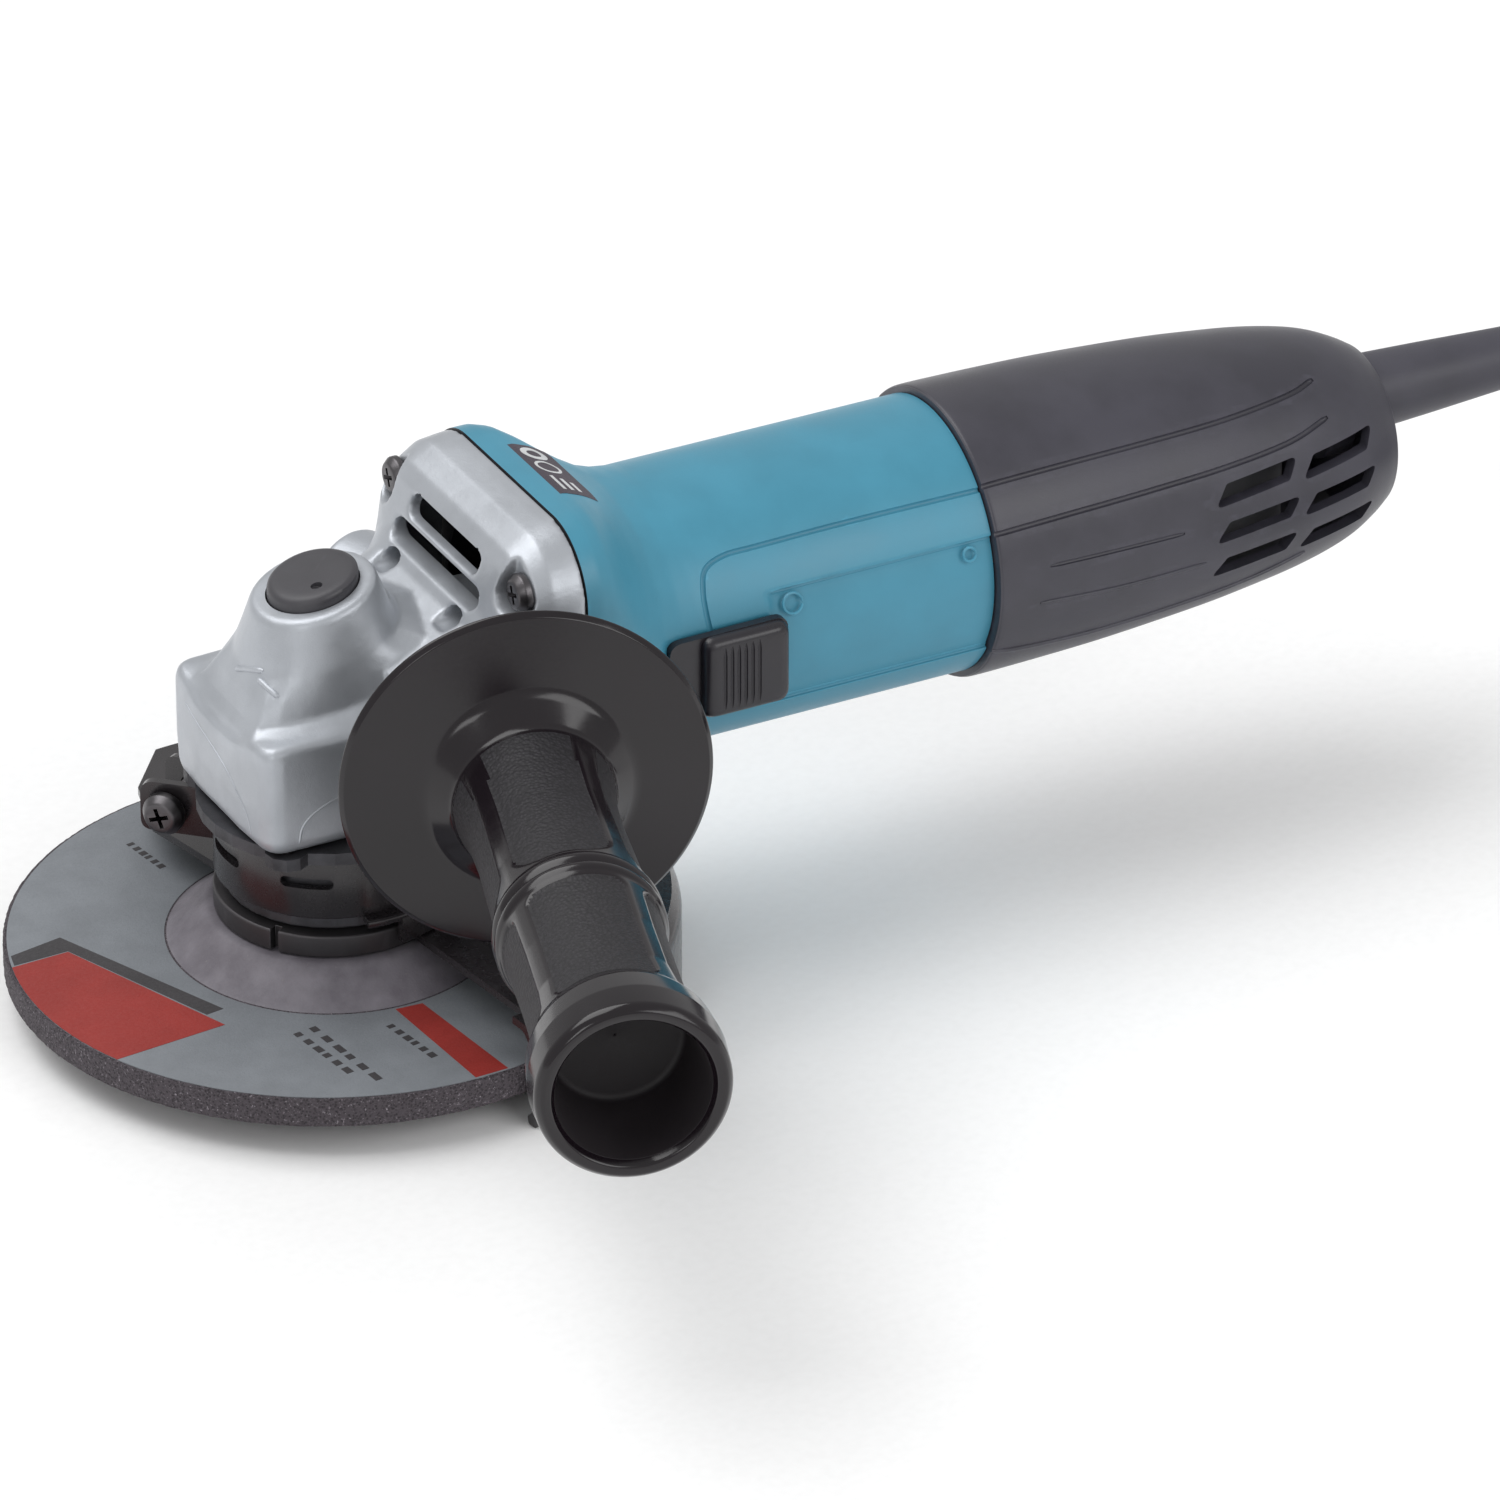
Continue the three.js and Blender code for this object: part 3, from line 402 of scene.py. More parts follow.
def make_camera():
    """A long lens from the grip's side, above the disc."""
    back = Vector((math.sin(AZIMUTH) * math.cos(ELEVATION),
                   -math.cos(AZIMUTH) * math.cos(ELEVATION), math.sin(ELEVATION)))
    right = Vector((math.cos(AZIMUTH), math.sin(AZIMUTH), 0))
    up = back.cross(right)
    data = bpy.data.cameras.new("camera")
    data.lens = CAMERA_LENS
    data.sensor_width = 36
    data.clip_start = 0.05
    data.clip_end = 50
    camera = placed("camera", data)
    place = Matrix((right, up, back)).transposed().to_4x4()
    place.translation = (back * CAMERA_DISTANCE + right * CAMERA_SIDE + up * CAMERA_RISE) * MM
    camera.matrix_world = place
    bpy.context.scene.camera = camera


# ---- materials

class Nodes:
    """A short way to write a material's node tree."""

    def __init__(self, name):
        self.material = bpy.data.materials.new(name)
        self.material.use_nodes = True
        self.tree = self.material.node_tree
        self.shader = self.tree.nodes["Principled BSDF"]
        self.place = self.node("ShaderNodeTexCoord").outputs["Object"]

    def node(self, kind, **values):
        made = self.tree.nodes.new(kind)
        for key, value in values.items():
            if hasattr(made, key):
                setattr(made, key, value)
            else:
                made.inputs[key.replace("_", " ")].default_value = value
        return made

    def link(self, source, node, socket):
        self.tree.links.new(source, node.inputs[socket])
        return node

    def noise(self, size, detail=3.0, roughness=0.55, stretch=None):
        """Noise whose features are about size millimetres."""
        made = self.node("ShaderNodeTexNoise", Scale=1 / (size * MM), Detail=detail, Roughness=roughness)
        place = self.place
        if stretch is not None:
            place = self.link(place, self.node("ShaderNodeMapping", Scale=stretch), "Vector").outputs[0]
        return self.link(place, made, "Vector").outputs["Fac"]

    def cells(self, size):
        """Rounded cells about size millimetres across."""
        made = self.node("ShaderNodeTexVoronoi", Scale=1 / (size * MM))
        return self.link(self.place, made, "Vector").outputs["Distance"]

    def waves(self, size, direction, **values):
        """Bands about size millimetres apart."""
        made = self.node("ShaderNodeTexWave", Scale=1 / (size * MM), bands_direction=direction, **values)
        return self.link(self.place, made, "Vector").outputs["Fac"]

    def ramp(self, value, low, high, start=0.0, end=1.0):
        made = self.node("ShaderNodeMapRange", From_Min=low, From_Max=high, To_Min=start, To_Max=end)
        made.clamp = True
        return self.link(value, made, "Value").outputs["Result"]

    def math(self, operation, a, b):
        made = self.node("ShaderNodeMath")
        made.operation = operation
        for index, value in enumerate((a, b)):
            if isinstance(value, (int, float)):
                made.inputs[index].default_value = value
            else:
                self.tree.links.new(value, made.inputs[index])
        return made.outputs[0]

    def mix(self, factor, a, b):
        made = self.node("ShaderNodeMix", data_type="RGBA")
        self.tree.links.new(factor, made.inputs[0])
        for index, value in ((6, a), (7, b)):
            if isinstance(value, tuple):
                made.inputs[index].default_value = (*value, 1)
            else:
                self.tree.links.new(value, made.inputs[index])
        return made.outputs[2]

    def edges(self, low=0.51, high=0.56):
        """How far a spot stands out as a worn edge."""
        return self.ramp(self.node("ShaderNodeNewGeometry").outputs["Pointiness"], low, high)

    def bumps(self, *layers):
        """Bump layers of (height, depth in millimetres)."""
        normal = None
        for height, depth in layers:
            bump = self.node("ShaderNodeBump", Strength=1.0, Distance=depth * MM)
            self.link(height, bump, "Height")
            if normal is not None:
                self.link(normal, bump, "Normal")
            normal = bump.outputs["Normal"]
        self.link(normal, self.shader, "Normal")

    def finish(self, color, roughness, **constants):
        self.link(color, self.shader, "Base Color")
        self.link(roughness, self.shader, "Roughness")
        for key, value in constants.items():
            self.shader.inputs[key.replace("_", " ")].default_value = value
        return self.material


def tint(color, factor):
    return tuple(min(1.0, c * factor) for c in color)


def srgb(red, green, blue):
    return tuple((c / 255) ** 2.2 for c in (red, green, blue))


def moulded(name, color, roughness, grain=0.35, depth=0.012, patch=14, spread=0.12, wear=1.25, coat=0.0,
            specular=0.5):
    """Moulded plastic or rubber: fine spark-eroded grain, faint flow patches and rubbed edges."""
    n = Nodes(name)
    broad = n.noise(patch, 4)
    fine = n.noise(grain, 2)
    base = n.mix(n.ramp(broad, 0.35, 0.65), tint(color, 1 - spread), tint(color, 1 + spread))
    rub = n.math("MULTIPLY", n.edges(), n.ramp(n.noise(3), 0.4, 0.7))
    shade = n.mix(rub, base, tint(color, wear))
    rough = n.math("ADD", n.ramp(broad, 0.3, 0.7, roughness - 0.05, roughness + 0.05),
                   n.ramp(fine, 0.3, 0.7, -0.03, 0.03))
    n.bumps((fine, depth), (n.noise(patch * 0.6, 2), depth * 4))
    return n.finish(shade, rough, Metallic=0.0, Coat_Weight=coat, Coat_Roughness=0.12,
                    Specular_IOR_Level=specular)


def cast_metal():
    """Silver-lacquered die-cast alloy: sandy skin, soft pitting and bright worn edges."""
    n = Nodes("cast_alloy_lacquered")
    color = srgb(172, 176, 182)
    sand = n.noise(0.28, 3)
    pits = n.cells(0.9)
    broad = n.noise(11, 4)
    base = n.mix(n.ramp(broad, 0.35, 0.65), tint(color, 0.93), tint(color, 1.04))
    specks = n.mix(n.ramp(sand, 0.62, 0.74, 0.0, 0.35), base, tint(color, 0.7))
    shade = n.mix(n.math("MULTIPLY", n.edges(0.52, 0.6), n.ramp(n.noise(2.5), 0.45, 0.7)), specks,
                  tint(color, 1.2))
    rough = n.ramp(n.noise(5, 3), 0.3, 0.7, 0.36, 0.46)
    n.bumps((sand, 0.03), (pits, 0.012), (n.noise(7, 2), 0.12))
    return n.finish(shade, rough, Metallic=0.55, Coat_Weight=0.15, Coat_Roughness=0.3)


def machined(name, color, roughness=0.3, stretch=(1, 1, 14), metallic=1.0):
    """Turned or ground metal, with tool lines and a little staining."""
    n = Nodes(name)
    lines = n.noise(0.9, 3, stretch=stretch)
    stain = n.noise(6, 4)
    base = n.mix(n.ramp(stain, 0.3, 0.7), tint(color, 0.85), tint(color, 1.08))
    shade = n.mix(n.edges(), base, tint(color, 1.3))
    rough = n.math("ADD", n.ramp(lines, 0.3, 0.7, roughness - 0.06, roughness + 0.08),
                   n.ramp(stain, 0.4, 0.7, 0.0, 0.06))
    n.bumps((lines, 0.01), (n.noise(0.4, 2), 0.004))
    return n.finish(shade, rough, Metallic=metallic)


def black_steel():
    """Black-painted pressed steel with orange peel and a few dull scuffs."""
    n = Nodes("black_painted_steel")
    color = srgb(46, 43, 45)
    scuff = n.noise(2.4, 3)
    rub = n.ramp(scuff, 0.62, 0.76, 0.0, 0.25)
    shade = n.mix(rub, n.mix(n.ramp(n.noise(12, 3), 0.3, 0.7), tint(color, 0.85), tint(color, 1.2)),
                  srgb(70, 68, 70))
    rough = n.ramp(scuff, 0.35, 0.7, 0.24, 0.3)
    n.bumps((n.noise(1.1, 2), 0.002), (n.noise(0.25, 2), 0.001))
    return n.finish(shade, rough, Metallic=0.2, Coat_Weight=0.3, Coat_Roughness=0.2)


def abrasive():
    """Bonded grit: dark resin, packed grains and bright flecks."""
    n = Nodes("bonded_abrasive")
    grain = n.cells(0.55)
    fleck = n.noise(0.5, 4, 0.7)
    base = n.mix(n.ramp(grain, 0.1, 0.55), srgb(36, 32, 36), srgb(74, 68, 73))
    shade = n.mix(n.ramp(fleck, 0.6, 0.7), base, srgb(158, 150, 158))
    rough = n.ramp(fleck, 0.3, 0.75, 0.95, 0.6)
    n.bumps((grain, 0.25), (fleck, 0.12))
    return n.finish(shade, rough, Metallic=0.0)


def hub_resin():
    """The pressed, smooth middle of the disc."""
    n = Nodes("disc_hub_resin")
    broad = n.noise(7, 4)
    fine = n.noise(0.5, 3)
    base = n.mix(n.ramp(broad, 0.35, 0.65), srgb(100, 96, 103), srgb(120, 116, 123))
    shade = n.mix(n.ramp(fine, 0.62, 0.72, 0.0, 0.5), base, srgb(128, 122, 124))
    n.bumps((fine, 0.05), (broad, 0.12))
    return n.finish(shade, n.ramp(fine, 0.3, 0.7, 0.55, 0.75), Metallic=0.0)


def printed(name, color, spots=0.35, weave=0.7):
    """Ink or card pressed onto the disc's glass-cloth, which shows through."""
    n = Nodes(name)
    cloth = n.noise(weave, 2)
    speck = n.noise(0.35, 4, 0.7)
    base = n.mix(n.ramp(n.noise(9, 4), 0.35, 0.65), tint(color, 0.92), tint(color, 1.06))
    shade = n.mix(n.ramp(speck, 0.55, 0.75, 0.0, spots), base, tint(color, 0.6))
    n.bumps((cloth, 0.05), (speck, 0.03))
    return n.finish(shade, n.ramp(cloth, 0.3, 0.7, 0.5, 0.68), Metallic=0.0, Specular_IOR_Level=0.35)


def textured_grip():
    """The handle's stippled panels."""
    n = Nodes("grip_stipple")
    color = srgb(37, 35, 39)
    dots = n.cells(0.75)
    fine = n.noise(0.3, 3)
    base = n.mix(n.ramp(dots, 0.15, 0.6), tint(color, 1.5), tint(color, 0.6))
    shade = n.mix(n.ramp(n.noise(8, 4), 0.35, 0.65, 0.0, 0.4), base, tint(color, 0.8))
    n.bumps((dots, -0.16), (fine, 0.04))
    return n.finish(shade, n.ramp(fine, 0.3, 0.7, 0.52, 0.68), Metallic=0.0)


def wound_copper():
    """Lacquered copper wire, packed turn by turn."""
    n = Nodes("wound_copper")
    wave = n.waves(2.2, "DIAGONAL", Distortion=1.5, Detail=2.0)
    shade = n.mix(wave, srgb(120, 62, 34), srgb(205, 128, 78))
    n.bumps((wave, 0.2), (n.noise(0.6, 3), 0.05))
    return n.finish(shade, n.ramp(wave, 0, 1, 0.45, 0.28), Metallic=0.8, Coat_Weight=0.4)


def laminations():
    """A stack of thin pressed steel sheets."""
    n = Nodes("steel_laminations")
    wave = n.waves(1.6, "X", Distortion=0.2)
    shade = n.mix(wave, srgb(72, 70, 70), srgb(122, 120, 118))
    n.bumps((wave, 0.06), (n.noise(0.5, 3), 0.02))
    return n.finish(shade, n.ramp(n.noise(2, 4), 0.3, 0.7, 0.4, 0.6), Metallic=0.9)


def carbon():
    """Pressed carbon for the brushes."""
    n = Nodes("pressed_carbon")
    grain = n.noise(0.4, 4)
    shade = n.mix(n.ramp(grain, 0.35, 0.7), srgb(34, 34, 36), srgb(70, 70, 72))
    n.bumps((grain, 0.05))
    return n.finish(shade, n.ramp(grain, 0.3, 0.7, 0.6, 0.8), Metallic=0.1)


def studio_floor():
    """Pale matt paper."""
    n = Nodes("paper_floor")
    fibre = n.noise(2.0, 4)
    shade = n.mix(n.ramp(fibre, 0.3, 0.7), (0.93, 0.93, 0.93), (0.96, 0.96, 0.96))
    n.bumps((fibre, 0.02))
    return n.finish(shade, n.ramp(fibre, 0.3, 0.7, 0.7, 0.8), Metallic=0.0)


LOOKS = {
    "cast_alloy": cast_metal(),
    "teal_shell": moulded("teal_nylon", srgb(66, 134, 158), 0.4, grain=0.3, depth=0.01, spread=0.05,
                          wear=1.2),
    "dark_shell": moulded("charcoal_nylon", srgb(60, 59, 67), 0.4, grain=0.3, depth=0.014, patch=18,
                          spread=0.16),
    "handle_black": moulded("gloss_black_nylon", srgb(27, 22, 26), 0.17, grain=0.5, depth=0.003, patch=20,
                            spread=0.1, coat=0.2, specular=0.36),
    "knob_black": moulded("knob_black_nylon", srgb(38, 36, 41), 0.32, depth=0.008),
    "button_black": moulded("button_black_nylon", srgb(60, 59, 63), 0.42, depth=0.01),
    "black_steel": black_steel(),
    "machined_steel": machined("machined_steel", srgb(176, 178, 182)),
    "dark_steel": machined("blackened_steel", srgb(72, 70, 72), 0.42, metallic=0.7),
    "screw_steel": machined("oxide_screw_steel", srgb(92, 90, 92), 0.34),
    "spring_steel": machined("spring_steel", srgb(160, 162, 166), 0.3, stretch=(3, 3, 3)),
    "lamination": laminations(),
    "abrasive": abrasive(),
    "winding_copper": wound_copper(),
    "commutator_copper": machined("commutator_copper", srgb(206, 128, 86), 0.3, stretch=(14, 1, 1)),
    "brush_brass": machined("brush_brass", srgb(206, 172, 98), 0.34, stretch=(1, 1, 6)),
    "bush_bronze": machined("sintered_bronze", srgb(176, 138, 84), 0.45),
    "carbon": carbon(),
    "black_nylon": moulded("black_nylon", srgb(52, 52, 55), 0.5),
    "fan_nylon": moulded("fan_nylon", srgb(62, 62, 66), 0.5, spread=0.15),
    "switch_cream": moulded("switch_cream", srgb(226, 220, 200), 0.45, spread=0.04, wear=1.05),
    "capacitor_case": moulded("capacitor_case", srgb(66, 84, 128), 0.3, spread=0.06),
    "black_rubber": moulded("relief_rubber", srgb(64, 63, 71), 0.46, grain=0.4, depth=0.015),
    "cord_rubber": moulded("lead_rubber", srgb(58, 57, 64), 0.5, grain=0.5, depth=0.02),
    "plug_rubber": moulded("plug_vinyl", srgb(44, 43, 46), 0.4, grain=0.4, depth=0.015),
    "tie_nylon": moulded("tie_nylon", srgb(36, 36, 38), 0.45, depth=0.008),
    "pin_nickel": machined("nickel_plate", srgb(198, 198, 200), 0.16, stretch=(8, 1, 1)),
}
EXTRA = {
    "grip_panel": textured_grip(),
    "hub": hub_resin(),
    # Matte near-black nylon for the inside of the cap: painted shade in its hollow.
    "cap_hollow_painted_shade": moulded("cap_hollow_nylon", srgb(36, 32, 35), 0.6, depth=0.01),
    "label_grey": printed("label_grey", srgb(122, 126, 131)),
    "label_red": printed("label_red", srgb(146, 52, 47)),
    "label_dark": printed("label_dark", srgb(64, 62, 64)),
    "sticker_dark": printed("sticker_dark", srgb(72, 66, 74), 0.1, 0.3),
    "sticker_light": printed("sticker_light", srgb(196, 198, 200), 0.1, 0.3),
}


def painted_shade_bearing_casting():
    """The casting that holds the spindle's bearing, coloured dark grey as painted shade for the shadow below
    the gear head.
    """
    n = Nodes("painted_shade_bearing_casting")
    sand = n.noise(0.3, 3)
    # Dark greys: painted shade, not the casting's own colour.
    shade = n.mix(n.ramp(n.noise(6, 4), 0.3, 0.7), srgb(58, 57, 60), srgb(84, 84, 88))
    n.bumps((sand, 0.03), (n.noise(5, 2), 0.06))
    return n.finish(shade, n.ramp(sand, 0.3, 0.7, 0.4, 0.55), Metallic=0.6)


# The bearing box takes the painted-shade casting look.
NODE_LOOKS = {"bearing_box": painted_shade_bearing_casting(), "switch_body": LOOKS["black_nylon"]}


def dress_kept_nodes():
    """Every CAD node keeps its shape and gets its slot's material and softened edges."""
    slots = {entry["node"]: entry["material_slot"] for entry in frame["record"]["subparts"]}
    for name, node in frame["nodes"].items():
        node.data.materials.clear()
        node.data.materials.append(NODE_LOOKS.get(name) or LOOKS[slots[name]])
        if not node.hide_render:
            bevel(node, 0.12, 2, 40)


# ---- mains lead

CORD_RADIUS = 4.0
CORD_RUN = [
    (278.3, 0, 65.5), (289, 0, 65.5), (300, 0, 65.5), (311.6, 0, 64), (322.5, 0, 59.5),
    (331.8, 0, 52.3), (339, 0, 43), (343.6, 0, 31.5), (348.2, 0, 20.2), (355.4, 0, 10.9),
    (364.7, 0, 3.7), (375.6, 0, -0.6), (385.5, 0, -1.6), (400, 0, -1.2),
]
CORD_TAIL = [
    (400.4, -104, 20.2), (385.8, -104, 13.5), (379, -104, 8.6), (371.5, -104, 4.2), (362.5, -104, 0.2),
    (353, -104, -1.9), (344, -104, -1.3), (335, -104, 1.2), (326, -104, 3.9), (317.8, -104, 4.7),
]
COIL_CENTRE = (415, -52)
COIL_FIRST_HEIGHT = -0.8
COIL_TURNS = [(52, 0), (44, 0), (44, 1), (52, 1), (52, 2), (44, 2), (44, 3), (52, 3)]
COIL_LENGTH = 7.5
COIL_STEPS = 20
COIL_SHIFT = 0.15


def coil_points():
    """Turns side by side in layers. Each shifts to the next over its last stretch."""
    points = []
    for i in range(int(COIL_LENGTH * COIL_STEPS) + 1):
        turns = i / COIL_STEPS
        index = min(int(turns), len(COIL_TURNS) - 1)
        following = COIL_TURNS[min(index + 1, len(COIL_TURNS) - 1)]
        share = ease((turns - index - (1 - COIL_SHIFT)) / COIL_SHIFT)
        radius, layer = (a * (1 - share) + b * share for a, b in zip(COIL_TURNS[index], following))
        angle = math.pi / 2 - turns * 2 * math.pi
        points.append((COIL_CENTRE[0] + radius * math.cos(angle), COIL_CENTRE[1] + radius * math.sin(angle),
                       COIL_FIRST_HEIGHT + layer * 2 * CORD_RADIUS))
    return points


def make_tie():
    """A flat strap round the coil's turns."""
    low, high = node_box("cord_tie")
    inner = rounded_box_outline((high[0] - low[0]) / 2 - 1.0, (high[2] - low[2]) / 2 - 1.0, 5.0, 8)
    outer = rounded_box_outline((high[0] - low[0]) / 2, (high[2] - low[2]) / 2, 6.0, 8)
    centre = (low + high) / 2
    loops = ((outer, low[1] + 0.3), (outer, high[1] - 0.3), (inner, high[1]), (inner, low[1]))
    rings = [[(centre[0] + a, y, centre[2] + b) for a, b in outline] for outline, y in loops]
    strap = bevel(loft("coil_strap", rings, loop=True), 0.25)
    return settle(apply_modifiers(strap), ROOT, "tie_nylon", ["cord_tie"])


PIN_PLACES = (-9.5, 9.5)


def make_plug():
    """A flat moulded plug with finger grips and a ribbed relief, and its two pins."""
    start = np.array(CORD_TAIL[-1])

    def facing(p):
        return start + np.array([-0.6 - p[0], -p[1], p[2]])

    rings = []
    for s in np.linspace(0, 27, 28):
        groove = 0.7 if int(s / 3) % 2 else 0.0
        radius = 4.6 + 3.6 * (s / 27) ** 1.6 - groove * (s > 1)
        rings.append([facing((s, radius * math.cos(a), radius * math.sin(a))) for a in circle(48)])
    for s, width, height, corner in ((29, 8.6, 8.4, 7.9), (32, 12.4, 9.9, 8), (36, 15.6, 10.7, 8.6),
                                     (41, 17.0, 11, 9), (46, 16.2, 10.8, 9), (51, 16.0, 10.8, 9),
                                     (57, 16.9, 11, 9), (63, 17.6, 11, 9), (66.6, 17.3, 10.8, 9),
                                     (67.7, 16.7, 10.2, 8.6), (68, 15.8, 9.4, 8)):
        rings.append([facing((s, y, z)) for y, z in rounded_box_outline(width, height, corner, 12)])
    plug = loft("mains_plug", rings)
    grips = [pipe("plug_grip", [facing((43 + k * 2.6, y, side * 10.95)) for y in np.linspace(-8, 8, 9)], 0.6, 8)
             for side in (-1, 1) for k in range(5)]
    sockets = [pipe("plug_socket", [facing((s, y, 0)) for s in (64, 66, 68, 70)], 2.55, 24)
               for y in PIN_PLACES]
    cut(plug, *grips, *sockets)
    settle(plug, ROOT, "plug_rubber", ["plug"])
    pins = []
    for index, y in enumerate(PIN_PLACES):
        pin = turn(f"mains_pin_{index + 1}", [
            (0, 64.4), (2.3, 64.4, 0.05), (2.3, 74.0, 0.1), (2.15, 74.2, 0.1), (2.15, 85.2, 1.2),
            (1.3, 87, 0.8), (0, 87)], "x", (0, 0), 0.3, 48)
        move(pin, Matrix.Translation(tuple(start + np.array([-0.6, y, 0]))) @ turned_z(180))
        settle(pin, ROOT, "pin_nickel", [f"plug_pin_{index + 1}"])
        pins.append(pin)
    return [plug, *pins]


def make_cord():
    """The mains lead: from the sleeve down to the bench, round its coil and on to the plug."""
    route = CORD_RUN + coil_points() + CORD_TAIL
    smooth = np.array(catmull(route, 6)) * MM
    data = bpy.data.curves.new("mains_lead", "CURVE")
    data.dimensions = "3D"
    spline = data.splines.new("POLY")
    spline.points.add(len(smooth) - 1)
    for point, place in zip(spline.points, smooth):
        point.co = (*place, 1)
    data.bevel_depth = CORD_RADIUS * MM
    data.bevel_resolution = 6
    data.use_fill_caps = True
    data.materials.append(LOOKS["cord_rubber"])
    spline.use_smooth = True
    lead = placed("mains_lead", data)
    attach(lead, ROOT)
    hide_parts("cord_run", "cord_tail", "cord_coil")
    strap = make_tie()
    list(make_plug())


def make_relief():
    """The lead's tapered sleeve, with a collar inside the cover and a soft bead at its mouth."""
    profile = [(0, 211), (10.4, 211), (10.4, 216.6), (7.6, 217, 0.4), (7.6, 226, 2), (7.0, 238, 4),
               (6.2, 252, 4),
               (5.35, 267, 3), (5.15, 271.5, 1), (5.35, 273.5, 1), (5.35, 276, 0.8), (4.6, CORD_EXIT_X, 0.5),
               (0, CORD_EXIT_X)]
    relief = turn("lead_relief", profile, "x", (0, CORD_EXIT_Z), 0.4, 96, 6)
    settle(relief, ROOT, "black_rubber", ["cord_guard"])


# ---- disc, flange, nut and spindle

HUB_RADIUS = 31.5


def make_disc():
    """The abrasive disc. Its rim and underside are rough with grit, its hub is pressed smooth."""
    profile = rounded([
        (11.1, 6.5), (19, 6.5, 2), (29, 0, 2), (DISC_RADIUS, 0, 0.5), (DISC_RADIUS, 5.9, 0.4),
        (31.6, 5.9, 2), (24, 12.5, 2.5), (11.1, 12.5)], 0.3, 5)
    fine = []
    for a, b in zip(profile, profile[1:] + profile[:1]):
        steps = max(1, int(math.dist(a, b) / 0.9))
        fine += [(a[0] + (b[0] - a[0]) * k / steps, a[1] + (b[1] - a[1]) * k / steps) for k in range(steps)]
    segments = 420
    rng = np.random.default_rng(7)
    rings = []
    for radius, height in fine:
        rough = 0.22 if radius > DISC_RADIUS - 0.6 else 0.05 if height < 0.2 else 0.02
        wobble = rng.uniform(-1, 1, segments) * rough
        r = radius - (np.abs(wobble) if radius > DISC_RADIUS - 0.6 else 0)
        h = height + wobble * (0.3 if radius > DISC_RADIUS - 0.6 else 1)
        rings.append(level_ring(r, h, circle(segments)))
    disc = loft("abrasive_disc", rings, loop=True)
    for look in (LOOKS["abrasive"], EXTRA["hub"]):
        disc.data.materials.append(look)
    for face in disc.data.polygons:
        middle = face.center / MM
        face.material_index = int(math.hypot(middle.x, middle.y) < HUB_RADIUS)
        face.use_smooth = True
    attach(disc, SPINDLE)
    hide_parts("grinding_disc")


LABEL_INNER = 31.9
LABEL_OUTER = 61.7
RED_PATCH = [(-48.1, 15.3), (-33.5, -22.6)]
DARK_PATCH = [(-58.3, 18.9), (-47.2, 20.9), (-31.2, -17.2), (-34.9, -17.7), (-48.0, 15.6), (-59.2, 15.4)]
RED_STRIPE = [(-2.8, -32.4), (2.6, -32.8), (6.2, -61.2), (-0.6, -61.4)]


def patch(name, outline, low, high, look):
    """A printed shape on the label, trimmed to the label's ring."""
    dense = []
    for a, b in zip(outline, outline[1:] + outline[:1]):
        for k in range(12):
            p = np.array(a) + (np.array(b) - np.array(a)) * k / 12
            r = float(np.linalg.norm(p))
            dense.append(tuple(p * min(max(r, LABEL_INNER), LABEL_OUTER) / r))
    settle(slab(name, dense, low, high), SPINDLE, "abrasive", look=look)


def make_disc_label():
    """The disc's paper ring with plain generic printing: a patch, a stripe and short marks."""
    top = DISC_TOP
    paper = [(LABEL_INNER, top - 0.3), (LABEL_OUTER, top - 0.3),
             (LABEL_OUTER, top + 0.06), (LABEL_INNER, top + 0.06)]
    ring = turn("label_ring", paper, fillet=0.03, segments=192, steps=2)
    settle(ring, SPINDLE, "abrasive", look=EXTRA["label_grey"])
    rim = arc(LABEL_OUTER, 203.5, 166, 14)
    patch("label_patch_red", [*RED_PATCH, *rim], top, top + 0.12, EXTRA["label_red"])
    patch("label_patch_dark", DARK_PATCH, top, top + 0.1, EXTRA["label_dark"])
    patch("label_stripe_red", RED_STRIPE, top, top + 0.12, EXTRA["label_red"])
    marks = [((-19.5, -31), (-16.6, -55)), ((-23.0, -31.5), (-20.2, -50)), ((-6.4, -37), (-3.9, -52)),
             ((-20.4, 47), (-18.6, 35))]
    for index, (start, end) in enumerate(marks):
        a, b = np.array(start), np.array(end)
        along = (b - a) / np.linalg.norm(b - a)
        across = np.array([-along[1], along[0]])
        bars = []
        for k in range(6):
            here = a + (b - a) * k / 6
            dash = along * (np.linalg.norm(b - a) / 6 * (0.45 + 0.25 * ((k * 7) % 3) / 2))
            corners = [here - across * 0.75, here + across * 0.75, here + dash + across * 0.75,
                       here + dash - across * 0.75]
            bars.append(slab("mark", [tuple(c) for c in corners], top, top + 0.11))
        made = join(bars[0], *bars[1:])
        made.name = f"label_marks_{index + 1}"
        settle(made, SPINDLE, "abrasive", look=EXTRA["label_dark"])


